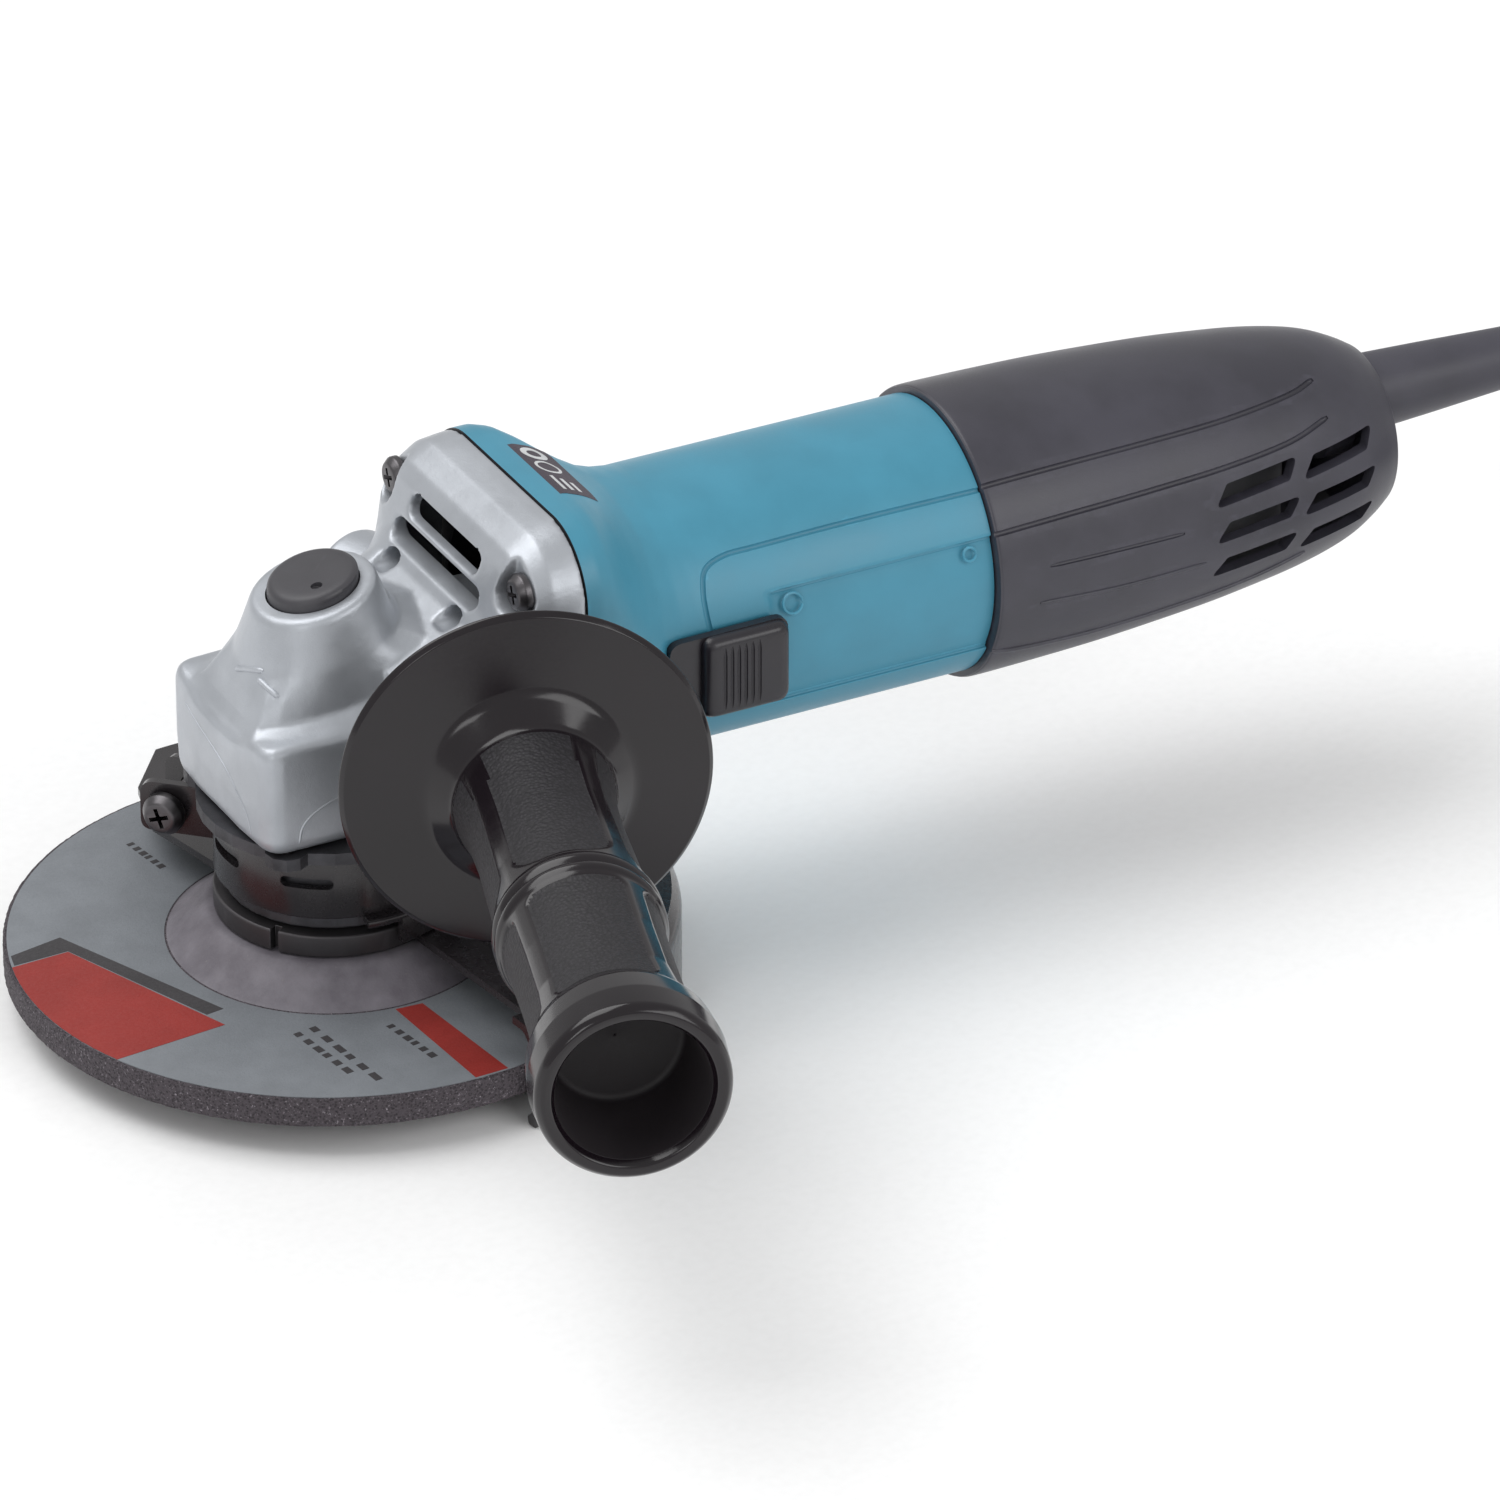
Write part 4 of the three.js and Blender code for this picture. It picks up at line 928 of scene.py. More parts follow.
def make_spindle_hardware():
    """The flange above the disc, the pin nut below it and the threaded spindle."""
    notches = [move(block("notch", (20.6, 24.5), (-0.8, 0.8), (12.2, 18)), turned_z(a)) for a in (215, 35)]
    flange = turn("disc_flange", [
        (7.3, 9.4), (10.8, 9.4), (10.8, 12.8, 0.3), (22.5, 12.8, 0.4), (22.5, 17.3, 0.5), (7.3, 17.3)],
        fillet=0.3)
    cut(flange, *notches)
    settle(bevel(flange, 0.15), SPINDLE, "dark_steel", ["inner_flange"])

    nut = turn("disc_nut", [
        (7.3, 0.6), (14.8, 0.6), (15.2, 1.2), (15.2, 6.2), (10.8, 6.2), (10.8, 9.1), (7.3, 9.1)], fillet=0.3)
    holes = [pipe("hole", [(x, y, z) for z in (0, 2, 4, 5)], 2.3, 24)
             for x, y in ((11.4, 0), (-11.4, 0))]
    cut(nut, *holes)
    settle(bevel(nut, 0.15), SPINDLE, "dark_steel", ["lock_nut"])

    profile = [(0, 0), (6.1, 0, 0.2), (7, 0.9, 0.2)]
    for k in range(7):
        z = 1.6 + k * 2.0
        profile += [(7, z, 0.1), (6.45, z + 0.9, 0.1), (7, z + 1.8, 0.1)]
    profile += [(7, 17.6), (8.9, 17.6), (8.9, 23.1), (6, 23.1), (6, 55.6), (4.4, 56.2), (4.4, 68), (0, 68)]
    shaft = turn("drive_spindle", profile, fillet=0.2, segments=96)
    settle(shaft, SPINDLE, "machined_steel", ["spindle"])


# ---- guard

GUARD_ENDS = (-81.2, 96)


def make_guard():
    """Pressed sheet: a flat crown with a rolled shoulder, a skirt and a bead along its foot."""
    inner = GUARD_RADIUS - 1.6
    plate = [*arc(inner - 0.3, *GUARD_ENDS, 120), (-16, 52), (-19.5, 38), *arc(23.4, 130, -73, 90), (7, -24),
             (11.6, -56.5)]
    sheet = slab("wheel_cover", plate, GUARD_TOP - 1.6, GUARD_TOP)
    profile = [(inner - 6, GUARD_TOP - 1.6), (inner - 2.5, GUARD_TOP - 1.6, 2.5), (inner, GUARD_TOP - 4.5, 2.5),
               (inner, FLOOR + 3.0, 0.8), (inner - 1.5, FLOOR + 1.6, 0.8), (inner - 1.2, FLOOR, 0.8),
               (GUARD_RADIUS - 0.4, FLOOR, 0.8), (GUARD_RADIUS, FLOOR + 1.4, 0.8),
               (GUARD_RADIUS, GUARD_TOP - 3.4, 3), (GUARD_RADIUS - 3, GUARD_TOP, 3), (inner - 6, GUARD_TOP)]
    join(sheet, swept("skirt", rounded(profile, 0.2, 6), np.radians(np.linspace(*GUARD_ENDS, 150))))
    ribs = [pipe("rib", [(x, y, GUARD_TOP - 0.25) for x, y in arc(43, middle - 17, middle + 17, 24)], 1.1, 14)
            for middle in (-40, 10, 60)]
    join(sheet, *ribs)
    settle(bevel(sheet, 0.3, 2), GUARD, "black_steel", ["wheel_guard"])


def make_guard_band():
    """The strap that clamps the guard to the gear head: band, slots, shelf, skirt and ears."""
    outer, inner = 22.3, 20.7
    low, high = 21.0, 33.0
    gap = (EAR_ANGLE + math.radians(8), EAR_ANGLE + math.radians(352))
    profile = rounded([(inner, low), (outer, low), (outer, high), (inner, high)], 0.4, 3)
    band = swept("clamp_band", profile, np.linspace(*gap, 160))
    shelf_profile = rounded([(21.4, 19.6), (25, 19.6, 0.8), (25, 21.4, 0.6), (21.4, 21.4)], 0.2, 3)
    skirt_profile = rounded([(23.4, 15), (25, 15), (25, 20.6), (23.4, 20.6)], 0.3, 3)
    extra = [
        swept("shelf", shelf_profile, np.radians(np.linspace(-100, 112, 110))),
        swept("skirt", skirt_profile, np.radians(np.linspace(-84, 108, 100))),
    ]
    for offset in (-8.5, 8.5):
        outline = rounded([(20.9, 22.5), (37.5, 22.5, 2.2), (37.5, high, 3), (20.9, high)], 0.1, 5)
        ear = slab("ear", outline, -0.8, 0.8, place=upright)
        extra.append(move(ear, turned_z(math.degrees(EAR_ANGLE) + offset)))
    join(band, *extra)
    cutters = []
    for middle, span in ((-12, 17), (180, 17), (232, 17)):
        outline = slot_outline(span * math.radians(1) * 21.5 * 1.6, 2.2)
        hole = slab("slot", outline, 18, 26, facing_x(z=28.5))
        cutters.append(move(hole, turned_z(middle)))
    bolt = pipe("bolt", [(CLAMP_REACH, y, CLAMP_HEIGHT) for y in (-20, -5, 5, 20)], 2.3, 24)
    cutters.append(move(bolt, turned_z(math.degrees(EAR_ANGLE))))
    cut(band, *cutters)
    settle(bevel(band, 0.2, 2), GUARD, "black_steel", ["guard_collar"])


def screw_head(name, shank, length, head, height):
    """A pan-head cross-recess screw that points down -Z from a head resting at zero."""
    profile = [(0, -length), (shank * 0.6, -length, 0.2), (shank, -length + shank * 0.7, 0.2)]
    pitch = 0.8
    turns = max(1, int((length - 1.5) / pitch))
    for k in range(turns):
        z = -length + 1.2 + k * pitch
        profile += [(shank, z, 0.05), (shank * 0.84, z + pitch / 2, 0.05)]
    profile += [(shank, -0.2, 0.1), (head, 0, 0.25), (head, height * 0.5, 0.6), (head * 0.72, height, 0.8),
                (0, height)]
    made = turn(name, profile, "z", (0, 0), 0.2, 40)
    blades = []
    for angle in (0, 90):
        outline = [(-head * 0.55, height + 0.5), (head * 0.55, height + 0.5), (head * 0.2, height * 0.15),
                   (-head * 0.2, height * 0.15)]
        blade = slab("blade", outline, -0.42, 0.42, place=upright)
        blades.append(move(blade, turned_z(angle + 20)))
    return cut(made, *blades)


def on_ear(side):
    """Against an ear of the clamp, pointing inward: side 1 for the screw, -1 for the nut."""
    lift = Matrix.Translation((CLAMP_REACH, side * CLAMP_HALF_WIDTH, CLAMP_HEIGHT))
    return Matrix.Rotation(EAR_ANGLE, 4, "Z") @ lift @ Matrix.Rotation(math.radians(-90 * side), 4, "X")


def make_clamp_screw():
    """The screw and nut that pull the clamp's ears together."""
    screw = move(screw_head("clamp_screw", 2.0, 16, 4.2, 3.2), on_ear(1))
    settle(bevel(screw, 0.12), GUARD, "screw_steel", ["guard_clamp_screw"])
    nut = slab("clamp_nut", arc(4.2, 0, 300, 6), 0, 3)
    cut(nut, pipe("bore", [(0, 0, z) for z in (-1, 1, 2, 4)], 2.5, 32))
    move(nut, on_ear(-1))
    settle(bevel(nut, 0.3, 2), GUARD, "screw_steel", ["guard_clamp_nut"])


# ---- gear head

NOSE_PLAN = [(-23.9, 9), (-23.2, 17.4), (-22.6, 19.2), (-21.4, 20.5), (-19.8, 21), (-6, 21.6), (2, 22.6),
             (10, 23.6), (24, 25.5)]
HILL_PLAN = [(-20.6, 12), (-16.7, 14), (-12.5, 15), (-7, 16), (-1, 17), (8, 19), (24, 22)]
NOSE_LOW = 37.2
HEAD_POINTS = 240


def lip_height(x):
    """The sloping rim of the button's well."""
    return LIP_TOP + BUTTON_SLOPE * (x - BUTTON_X)


def reach(plan, angle):
    """How far a ray from the button's axis runs before it meets a mirrored half outline."""
    along, across = math.cos(angle), abs(math.sin(angle))
    points = [(x - BUTTON_X, y) for x, y in [(plan[0][0], 0), *plan, (plan[-1][0], 0)]]
    best = 0.0
    for (ax, ay), (bx, by) in zip(points, points[1:]):
        first, second = ay * along - ax * across, by * along - bx * across
        if first * second <= 0 and first != second:
            share = first / (first - second)
            best = max(best, (ax + share * (bx - ax)) * along + (ay + share * (by - ay)) * across)
    return best


class Head:
    """Rings of the nose and its hill, round the button's axis."""

    def __init__(self):
        self.angles = circle(HEAD_POINTS)
        self.from_back = np.degrees(np.abs((self.angles + math.pi) % (2 * math.pi) - math.pi))
        self.wall = np.array([reach(NOSE_PLAN, a) for a in self.angles])
        self.hill = np.array([reach(HILL_PLAN, a) for a in self.angles])
        self.edge = self.keyed((0, 64), (60, 61), (95, 60), (134, 59.8), (148, 58.9), (158, 57.4), (180, 56.8))
        self.foot = self.keyed((0, 72), (60, 66), (95, 63), (120, 61.8), (140, 60.9), (152, 60.4), (180, 60.2))
        self.waist = self.keyed((0, 15.8), (60, 15.8), (90, 14.8), (134, 15.2), (150, 15.0), (180, 14.6))
        self.waist_height = self.keyed((0, 75), (60, 73.2), (90, 71.2), (134, 69.1), (150, 68.2), (180, 67.4))

    def keyed(self, *pairs):
        return np.interp(self.from_back, [p[0] for p in pairs], [p[1] for p in pairs])

    def ring(self, radius, height):
        return level_ring(radius, height, self.angles, BUTTON_X)

    def level(self, radius, drop):
        return self.ring(radius, lip_height(BUTTON_X + radius * np.cos(self.angles)) - drop)

    def solid(self):
        wall, hill, edge, foot = self.wall, self.hill, self.edge, self.foot
        waist, waist_height = self.waist, self.waist_height
        lip = lip_height(BUTTON_X + 12.5 * np.cos(self.angles)) - 2.6
        return loft("gear_shell", [
            self.ring(wall - 2.2, NOSE_LOW), self.ring(wall - 0.9, NOSE_LOW + 1.2),
            self.ring(wall - 0.35, NOSE_LOW + 2.6), self.ring(wall, 46),
            self.ring(wall, edge - 2.6), self.ring(wall - 0.35, edge - 1.0),
            self.ring(wall - 1.4, edge), self.ring(wall * 0.4 + hill * 0.6, edge * 0.4 + foot * 0.6 - 0.5),
            self.ring(hill, foot), self.ring((hill + waist) / 2, (foot + waist_height) / 2 + 0.3),
            self.ring(waist, waist_height),
            self.ring(waist * 0.45 + 12.5 * 0.55, waist_height * 0.45 + lip * 0.55),
            self.level(12.3, 1.8), self.level(12.0, 0.9), self.level(11.5, 0.25), self.level(10.9, 0),
            self.level(9.0, 0)])


def along_handle(radius, outward, angle):
    """A point round the side handle's axis. outward counts from the face of its boss."""
    round_axis = math.cos(angle) * HANDLE_SIDE + math.sin(angle) * np.array([0, 0, 1.0])
    return HANDLE_FACE + HANDLE_OUT * outward + radius * round_axis


def handle_lathe(name, profile, segments=128):
    """A [radius, distance] profile turned round the side handle's axis."""
    on_axis = profile[0][0] == 0
    outline = rounded(profile, 0.5, 4, closed=not on_axis)
    if on_axis:
        outline = [p for p in outline if p[0] > 1e-6]
    rings = [[along_handle(r, s, a) for a in circle(segments)] for r, s in outline]
    return loft(name, rings, loop=not on_axis)


def bore(profile, at=(0, AXIS_Z), segments=48):
    """A cutter turned round a line along X, the motor's axis unless told otherwise."""
    return turn("bore", profile, "x", at, segments=segments)


def mirrored(obj):
    """Flips a solid to the +Y side."""
    obj.data.transform(Matrix.Scale(-1, 4, (0, 1, 0)))
    obj.data.flip_normals()
    return obj


def screw_pocket(y, z):
    """A pocket for a corner screw, drawn out upward and inward to a point."""
    side = 1 if y > 0 else -1
    seat = [(y + a, z + b) for a, b in arc(4.4, 0, 348, 30)]
    tip = (y - side * 2.6, z + 7.4) if z > AXIS_Z else (y - side * 1.5, z - 5.5)
    outline = hull([*seat, (tip[0] - 0.6, tip[1]), (tip[0] + 0.6, tip[1])])
    return slab("pocket", outline, 8, 28.6, facing_x())


def hull(points):
    """The convex outline round flat points."""
    ordered = sorted(points)
    halves = []
    for run in (ordered, ordered[::-1]):
        side = []
        for p in run:
            while len(side) > 1 and ((side[-1][0] - side[-2][0]) * (p[1] - side[-2][1])
                                     - (side[-1][1] - side[-2][1]) * (p[0] - side[-2][0])) <= 0:
                side.pop()
            side.append(p)
        halves += side[:-1]
    return halves


def surface_stroke(shell, points, radius):
    """A raised stroke that lies on a solid's skin."""
    mesh = shell.data
    tree = BVHTree.FromPolygons([v.co for v in mesh.vertices], [tuple(p.vertices) for p in mesh.polygons])
    laid = []
    for point in catmull(points, 6):
        spot, normal = tree.find_nearest(Vector(point) * MM)[:2]
        laid.append(np.array(spot - normal * radius * 0.35 * MM) / MM)
    return pipe("stroke", laid, radius, 10)


# Each opening's middle y and z, length, width, and where its cut starts and ends along X.
VENTS = [(0, 84.6, 28.5, 4.8, 10, 27.5), (0, 78.9, 35, 4.3, 10, 27.5),
         (-12.9, 74.3, 5.4, 3.5, 16.5, 30), (12.9, 74.3, 5.4, 3.5, 16.5, 30)]
# Casting lines: the radius of each and the points it passes near.
STROKES = [
    (0.62, [(-18.6, 2, 66.3), (-17.6, -2, 67.8), (-16.3, -6, 69)]),
    (0.62, [(-17.2, -5.5, 67.4), (-16.2, -8.3, 66.5), (-15.2, -11, 65.5)]),
    (0.28, [(-24, 13, 55), (-24, 6, 53), (-24, -3, 50.5), (-24, -9, 47.5), (-23.6, -13, 43.5),
            (-23, -14, 39.5)]),
    (0.28, [(-16.5, -21, 39.5), (-15.8, -21, 43), (-13.5, -21, 45.5), (-9, -21.5, 47.5), (-2, -22, 49)]),
]


def make_gear_shell():
    """The die-cast gear head, from its round neck to the flange that meets the motor housing."""
    head = Head()
    shell = head.solid()
    throat = along_x("throat", [
        (4, 22, 54.6, 15, 8), (12, 23.4, 55, 16.4, 8), (16.5, 24, 55.8, 17.5, 8), (19.6, 24.6, 56.4, 18.4, 8.5),
        (22.4, 26, 58, 20.4, 9), (23.6, 26.8, 59.8, 22.4, 9), (25.4, 29, 62, 25, 10),
        (27.4, 31, 63.4, 26.4, 12),
        (29.2, 31.3, 61, 29.9, 12.5), (32, 31.7, 59.2, 33.5, 13), (35.6, 32, AXIS_Z, 34.4, 14),
        (38.1, 32, AXIS_Z, 34.6, 14)])
    boss_profile = [(0, -17), (10.6, -17), (10.6, -1, 0.5), (9.6, 0, 0.5), (0, 0)]
    bosses = [handle_lathe("boss", boss_profile), mirrored(handle_lathe("boss", boss_profile))]
    join(shell, throat, *bosses)
    dents = [screw_pocket(y, z) for y, z in SCREW_PLACES]
    for y, z, length, width, front, back in VENTS:
        dents.append(slab("vent", slot_outline(length, width), front, back, facing_x(y, z)))
    cut(shell, *dents)
    melt(shell, 0.5, 4)

    strokes = [surface_stroke(shell, points, radius) for radius, points in STROKES]
    join(shell, *strokes)
    rooms = [turn("room", [(0, 30), (20.4, 30), (20.4, 54.6), (17, 56.6), (5.4, 56.6), (5.4, 61), (6.7, 61),
                           (6.7, 69.4), (0, 69.4)], segments=64),
             bore(rod(7.4, 8.4, 22)),
             bore([(0, 21), (6.9, 21), (6.9, 24.9), (11.1, 24.9), (11.1, 45), (0, 45)])]
    air = along_x("air", [(25.2, 23.5, 60.6, 20, 9), (27.8, 27.6, 62.4, 24.4, 11),
                          (31.4, 28.4, AXIS_Z, 30.4, 12), (45, 28.6, AXIS_Z, 31.2, 12)])
    cut(air, bore(rod(14, 10, 60)))
    for y, z in SCREW_PLACES:
        cut(air, bore(rod(5.2, 20, 60), (y, z), 32))
        rooms.append(bore(rod(2.2, 20, 45), (y, z), 24))
    rooms.append(air)
    rooms.append(turn("well", rod(8.9, 73, 92), "z", (BUTTON_X, 0)))
    socket = rod(4.2, -13, 3)
    rooms.append(handle_lathe("socket", socket, 48))
    rooms.append(mirrored(handle_lathe("socket", socket, 48)))
    cut(shell, *rooms)
    settle(shell, ROOT, "cast_alloy", ["gear_housing"], angle=42)


SCREW_PLACES = [(26, 84), (26, 34), (-26, 84), (-26, 34)]


def make_head_screws():
    """The four corner screws through the gear head's flange."""
    for index, (y, z) in enumerate(SCREW_PLACES):
        place = Matrix.Translation((28.3, y, z)) @ Matrix.Rotation(math.radians(-90), 4, "Y")
        screw = move(screw_head(f"head_screw_{index + 1}", 1.9, 16.4, 3.8, 2.6), place)
        settle(bevel(screw, 0.12), ROOT, "screw_steel", [f"housing_screw_{index + 1}"])


BEARING_SCREWS_OUT = 24.7


def make_bearing_screws():
    """Countersunk screws that hold the bearing box up against the gear head."""
    for index, angle in enumerate((45, 135, 225, 315)):
        screw = turn(f"bearing_screw_{index + 1}", [
            (0, 34.7), (2.9, 34.7, 0.1), (3.0, 35.0, 0.1), (1.7, 36.4, 0.2), (1.7, 45, 0.2), (0, 45)],
            "z", (BEARING_SCREWS_OUT, 0), 0.2, 36)
        slots = [move(block("blade", (-1.7, 1.7), (-0.35, 0.35), (34, 35.5)),
                      Matrix.Translation((BEARING_SCREWS_OUT, 0, 0)) @ turned_z(a)) for a in (0, 90)]
        cut(screw, *slots)
        move(screw, turned_z(angle))
        settle(screw, ROOT, "screw_steel")


def make_button():
    """The shaft lock's button: a sloping top with a rounded rim and a small dimple."""
    rings = []
    angles = circle(96)
    for radius, drop in ((8.6, None), (8.6, 1.4), (8.45, 0.7), (8.0, 0.25), (7.3, 0.02), (6, 0), (3, 0.12),
                         (0.4, 0.16)):
        top = BUTTON_TOP + BUTTON_SLOPE * radius * np.cos(angles)
        rings.append(level_ring(radius, 77.0 if drop is None else top - drop, angles, BUTTON_X))
    button = loft("lock_button_cap", rings)
    dimple = turn("dimple", [(0, 82.2), (1.1, 82.2), (1.3, 90), (0, 90)], "z", (BUTTON_X - 1.2, -4.2), 0.2, 32)
    cut(button, dimple)
    settle(bevel(button, 0.15), LOCK, "button_black", ["lock_button"])


def make_lock_spring():
    """The button's return spring: a helix of wire that fills the CAD spring's box."""
    low, high = node_box("lock_spring")
    wire, turns = 0.4, 5
    middle = (low[:2] + high[:2]) / 2
    radius = (high[0] - low[0]) / 2 - wire
    points = []
    for t in np.linspace(0, 1, 24 * turns + 1):
        a = 2 * math.pi * turns * t
        points.append((middle[0] + radius * math.cos(a), middle[1] + radius * math.sin(a),
                       low[2] + wire + (high[2] - low[2] - 2 * wire) * t))
    spring = settle(pipe("lock_return_spring", points, wire, 10), ROOT, "spring_steel", ["lock_spring"])
    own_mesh(spring)


# ---- motor housing and rear cover

def surface_line(points, radius_at, size):
    """A thin rod along the barrel's skin. Points are (x, degrees above -Y)."""
    places = []
    for x, angle in catmull(points, 8):
        a = math.radians(angle)
        r = radius_at(x)
        places.append((x, -r * math.cos(a), AXIS_Z + r * math.sin(a)))
    return pipe("line", places, size, 10)


def step(value, edge, width):
    """Rises smoothly from 0 to 1 as value passes an edge."""
    return ease((value - edge) / width + 0.5)


def between(keys, x):
    """Values at x from rows of (x, value, value, ...)."""
    keys = np.array(keys)
    return [float(np.interp(x, keys[:, 0], column)) for column in keys.T[1:]]


def moulded_body(name, sections, spacing, relief):
    """A body along X from (x, half width, half height, corner) keys, with relief(x, y, degrees) cut in."""
    start, end = sections[0][0], sections[-1][0]
    xs = [*np.arange(start, end, spacing), end]
    rings = []
    for x in xs:
        width, height, corner = between(sections, x)
        ring = []
        for y, z in rounded_box_outline(width, height, min(corner, width, height), 96):
            scale = 1 - relief(x, y, math.degrees(math.atan2(z, abs(y)))) / math.hypot(y, z)
            ring.append((x, y * scale, AXIS_Z + z * scale))
        rings.append(ring)
    return loft(name, rings)


PANEL_TOP = 23.5
PANEL_FOOT = -29.5
PANEL_START = 80
PANEL_SINK = 0.9


def side_panel(x, y, degrees):
    """How far the panel behind the switch is sunk into the barrel."""
    inside = step(degrees, PANEL_FOOT, 1.6) * (1 - step(degrees, PANEL_TOP, 2.0)) * step(x, PANEL_START, 1.2)
    thumb_recess = 0.0
    if y < 0:
        thumb_recess = (step(degrees, -27, 2.5) * (1 - step(degrees, 14, 4))
                        * step(x, 57, 2) * (1 - step(x, 81, 2)))
    return PANEL_SINK * max(inside, 0.8 * thumb_recess)


def side_lines(points, radius_at, size):
    """The same line on both sides of the body."""
    return [surface_line(points, radius_at, size), mirrored(surface_line(points, radius_at, size))]


def make_motor_shell():
    """The motor housing: a square-shouldered bell that runs back into a round barrel."""
    sections = [
        (SEAM_FRONT, 32, 34.8, 14), (41.5, 32, 35, 14.4), (44.5, 31.6, 34.6, 15.6), (47.5, 30.7, 33.4, 18.4),
        (50.5, 29.7, 31.8, 21.6), (53.5, 28.9, 30.3, 24.3), (57, 28.1, 28.8, 26.5), (61, 27.6, 27.8, 27.3),
        (65, BARREL, BARREL, BARREL), (SEAM_REAR, BARREL, BARREL, BARREL)]
    shell = moulded_body("motor_shell", sections, 0.8, side_panel)
    tools = [
        bore([(0, 30), (26.6, 30), (26.6, 56.6), (25.2, 56.6), (25.2, 140), (0, 140)], segments=128),
        block("slot", (57.5, 74), (-32, -20), (55.5, 61.5)),
        surface_line([(67.0, 12), (66.6, 22), (66.9, 31), (68.5, 39), (73, 42.6), (80, 43), (100, 43.5),
                      (131, 43)], lambda x: BARREL, 0.6),
        mirrored(surface_line([(69, 43), (80, 43), (100, 43.5), (131, 43)], lambda x: BARREL, 0.6))]
    for edge, size in ((PANEL_TOP, 0.5), (PANEL_FOOT, 0.4)):
        tools += side_lines([(PANEL_START + 0.5, edge), (100, edge), (131, edge)], lambda x: BARREL - 0.4, size)
    tools += [bore(rod(2.1, 30, 46.4), place, 24) for place in SCREW_PLACES]
    cut(shell, *tools)
    settle(bevel(shell, 0.3, 3, 40), ROOT, "teal_shell", ["motor_housing"], angle=40)
    # The front face and the inward faces take black nylon: painted shade, so no teal shows where the housing
    # lies in shadow behind the vents.
    shell.data.materials.append(LOOKS["black_nylon"])
    for face in shell.data.polygons:
        x, y, z = np.array(face.center) / MM
        inward = y * face.normal[1] + (z - AXIS_Z) * face.normal[2] < 0
        face.material_index = int(x < SEAM_FRONT + 0.1 or (inward and math.hypot(y, z - AXIS_Z) < 26.7))


COVER_PROFILE = [
    (TAIL_START, 28.5), (131, 28.8), (150, 28.4), (163, 27.8), (180, 26.6), (191, 25.4), (200, 24.2),
    (208, 22.6), (214, 20.8), (219, 18.4), (TAIL_END, 16.2)]
COVER_LINE_UPPER = [(120, 43), (143, 44), (165, 45), (183, 47), (198, 52), (205, 58)]
COVER_LINE_LOWER = [(120, 24), (140, 25), (162, 26), (180, 27.5), (195, 31), (205, 38)]
COVER_LINE_SIDE = [(138.6, 7), (154, 6), (168.6, 5)]
COVER_RIDGE_SIDE = [(136.6, -8), (154.5, -11), (174, -12.5)]
COVER_RIDGE_FOOT = [(127.9, -29), (136, -32), (150, -35), (170, -36), (187, -35), (199, -30)]
VENT_ROWS = [(66.8, 0.9), (59.2, 0.8), (51.2, 0.9)]
VENT_SPANS = [(177, 195), (197.6, 214.4)]
COVER_SCREW_X = 141
COVER_SCREW_SEAT = 32.6


def cover_radius(x):
    return between(COVER_PROFILE, x)[0]


def make_tail_shell():
    """The rear cover: a tapering shell with long seams, vent rows and a rounded end."""
    smooth = catmull(COVER_PROFILE, 6)
    outline = [(0, TAIL_START), *[(float(r), float(x)) for x, r in smooth], (0, TAIL_END)]
    shell = turn("tail_shell", outline, "x", (0, AXIS_Z), 0.9, 192, 4)
    ridges = side_lines(COVER_RIDGE_SIDE, cover_radius, 0.42) + side_lines(COVER_RIDGE_FOOT, cover_radius, 0.5)
    join(shell, *ridges)
    room = [(0, 120), (26.1, 120), (25.9, 150), (25.3, 163), (24.1, 180), (22.9, 191), (21.7, 200), (20.1, 208),
            (18.3, 214), (16.6, 218.6), (0, 218.6)]
    tools = [turn("room", room, "x", (0, AXIS_Z), 0.5, 96),
             turn("cord_hole", rod(8, 210, 230), "x", (0, CORD_EXIT_Z), 0.1, 48)]
    for line, size in ((COVER_LINE_UPPER, 0.62), (COVER_LINE_LOWER, 0.6), (COVER_LINE_SIDE, 0.45)):
        tools += side_lines(line, cover_radius, size)
    for z, lean in VENT_ROWS:
        for start, end in VENT_SPANS:
            rise = lean / 2
            outline = rounded([(start - 1.2, z - 2.1 - rise), (end - 1.6, z - 2.0 + rise),
                               (end + 0.8, z + 2.0 + rise), (start + 2.0, z + 2.1 - rise)], 0.9, 5)
            for side in (-1, 1):
                tools.append(slab("vent", outline, 10, 40, place=lambda p, s=side: (p[0], s * p[2], p[1])))
    tools.append(turn("screw_hole", [(0, 20), (4.2, 20), (4.2, COVER_SCREW_SEAT), (2, COVER_SCREW_SEAT),
                                     (2, 50), (0, 50)], "z", (COVER_SCREW_X, 0), 0.1, 32))
    cut(shell, *tools)
    settle(bevel(shell, 0.35, 3, 40), ROOT, "dark_shell", ["rear_cover"], angle=40)
    screw = screw_head("cover_screw", 1.8, 12, 3.6, 2.4)
    seat = Matrix.Translation((COVER_SCREW_X, 0, COVER_SCREW_SEAT + 0.1))
    move(screw, seat @ Matrix.Rotation(math.pi, 4, "X"))
    settle(bevel(screw, 0.1), ROOT, "screw_steel")


